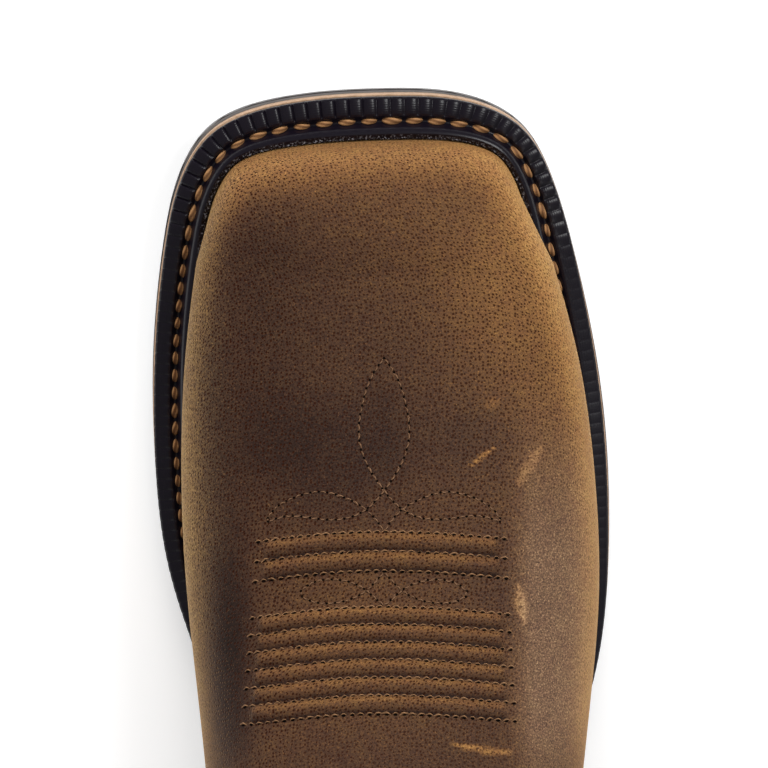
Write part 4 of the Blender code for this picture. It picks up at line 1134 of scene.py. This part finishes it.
# Worn rubber: nearly black, greyed in clouds, with a fine grain and a dull satin gloss.
tread, tree, shader = surface("outsole_rubber")
place = add(tree, "TexCoord").outputs["Object"]
wear = add(tree, "TexNoise", Vector=place, Scale=per_metre(TREAD_WEAR), Detail=5.0, Roughness=0.6)
grain = add(tree, "TexNoise", Vector=place, Scale=per_metre(TREAD_GRAIN), Detail=3.0)
grey = add(tree, "ValToRGB", stops=TREAD_GREYS, Fac=wear)
bump = add(tree, "Bump", Strength=0.3, Distance=0.12 * MM, Height=grain)
connect(shader, Base_Color=grey, Normal=bump, Roughness=0.42)
# The rounded walls are shaded smooth, and only real edges stay sharp.
mould = bpy.data.node_groups.new("mould_walls", "GeometryNodeTree")
for way in ("INPUT", "OUTPUT"):
    mould.interface.new_socket("Geometry", in_out=way, socket_type="NodeSocketGeometry")
solid = add(mould, "GeometryNodeMergeByDistance", _0=add(mould, "NodeGroupInput"), Distance=FACET_JOIN * MM)
bend = add(mould, "GeometryNodeInputMeshEdgeAngle")
sharp = add(mould, "Math", {"operation": "GREATER_THAN"}, _0=bend, _1=WALL_ANGLE)
solid = add(mould, "GeometryNodeSetMeshNormal", _0=solid, Edge_Sharpness=sharp)
add(mould, "NodeGroupOutput", _0=solid)
for name in ("outsole", "heel"):
    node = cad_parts[name]
    node.data.materials.clear()
    node.data.materials.append(tread)
    node.modifiers.new("mould_walls", "NODES").node_group = mould
    soft = node.modifiers.new("mould_edges", "BEVEL")
    soft.width = EDGE_ROUND * MM
    soft.segments = 2
    soft.limit_method = "ANGLE"
    soft.angle_limit = EDGE_ANGLE
    soft.harden_normals = True

# Rim rubber: a pale, dull grey, partly rubbed and partly a painted highlight along the rim's rounded edge.
rim_grey_finish, tree, shader = surface("scuffed_rubber")
place = add(tree, "TexCoord").outputs["Object"]
wear = add(tree, "TexNoise", Vector=place, Scale=per_metre(RIM_GREY_CLOUD), Detail=5.0, Roughness=0.65)
grey = add(tree, "ValToRGB", stops=RIM_GREYS, Fac=wear)
connect(shader, Base_Color=grey, Roughness=0.55)
rim_faces = slab_faces(len(RIM_PROFILE), SOLE_POINTS)
outsole_rim = place_mesh("outsole_rim", sole_rings(RIM_PROFILE), rim_faces, rim_grey_finish)
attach(outsole_rim, "root")

# Floor, light and camera
# A white paper floor under soft boxes: a key from the outer side ahead of the toe, and weaker fills round it.
# The camera looks down from a little ahead of the toe, at the photo's angle. Places here are in metres.
FLOOR_HALF = 3.0
FLOOR_WHITE = "#f4f4f4"
FLOOR_GLOW = 0.3          # the paper is lit from below as well, so that it stays white beside the boot
CAMERA_TARGET = (0.0005, 0.077, 0.015)
CAMERA_TILT = math.radians(12.0)
CAMERA_DISTANCE = 1.0
CAMERA_LENS, SENSOR = 183.0, 36.0
CLIP_START = 0.01
WORLD_WHITE, WORLD_STRENGTH = "#ffffff", 0.22
SOFT_BOXES = (
    # name, place, aimed at, size, watts, mirrored in glossy faces
    ("key", (0.70, 0.50, 1.28), (0.0, 0.06, 0.04), 0.7, 12.0, True),
    ("toe", (-0.15, 1.35, 0.75), (0.0, 0.08, 0.04), 0.8, 19.0, False),
    ("inner fill", (-1.28, 0.1, 0.58), (0.0, 0.06, 0.04), 0.9, 7.0, False),
    ("back", (0.2, -1.2, 1.2), (0.0, -0.05, 0.12), 1.0, 5.0, True),
)

# Matt white paper, with hardly any gloss to mirror the boot.
paper, tree, shader = surface("white_paper")
connect(shader, Base_Color=linear(FLOOR_WHITE), Roughness=0.9, Specular_IOR_Level=0.1,
        Emission_Color=linear(FLOOR_WHITE), Emission_Strength=FLOOR_GLOW)
floor_corners = np.array([(-1, -1, 0), (1, -1, 0), (1, 1, 0), (-1, 1, 0)]) * FLOOR_HALF / MM
floor = place_mesh("floor", floor_corners, [(0, 1, 2, 3)], paper)

world = bpy.data.worlds.new("studio")
world.use_nodes = True
connect(world.node_tree.nodes["Background"], Color=linear(WORLD_WHITE), Strength=WORLD_STRENGTH)
bpy.context.scene.world = world

for name, place, aim, size, watts, mirrored in SOFT_BOXES:
    lamp = bpy.data.lights.new(name, "AREA")
    lamp.shape = "DISK"
    lamp.size = size
    lamp.energy = watts
    box = bpy.data.objects.new(name, lamp)
    box.location = place
    box.visible_glossy = mirrored
    box.rotation_euler = (Vector(aim) - Vector(place)).to_track_quat("-Z", "Y").to_euler()
    bpy.context.scene.collection.objects.link(box)

lens = bpy.data.cameras.new("photo")
lens.lens = CAMERA_LENS
lens.sensor_width = SENSOR
lens.clip_start = CLIP_START
camera = bpy.data.objects.new("photo", lens)
away = Vector((0.0, math.sin(CAMERA_TILT), math.cos(CAMERA_TILT)))
camera.location = Vector(CAMERA_TARGET) + CAMERA_DISTANCE * away
camera.rotation_euler = (-CAMERA_TILT, 0.0, 0.0)
bpy.context.scene.collection.objects.link(camera)
bpy.context.scene.camera = camera
bpy.context.scene.view_settings.view_transform = "Standard"
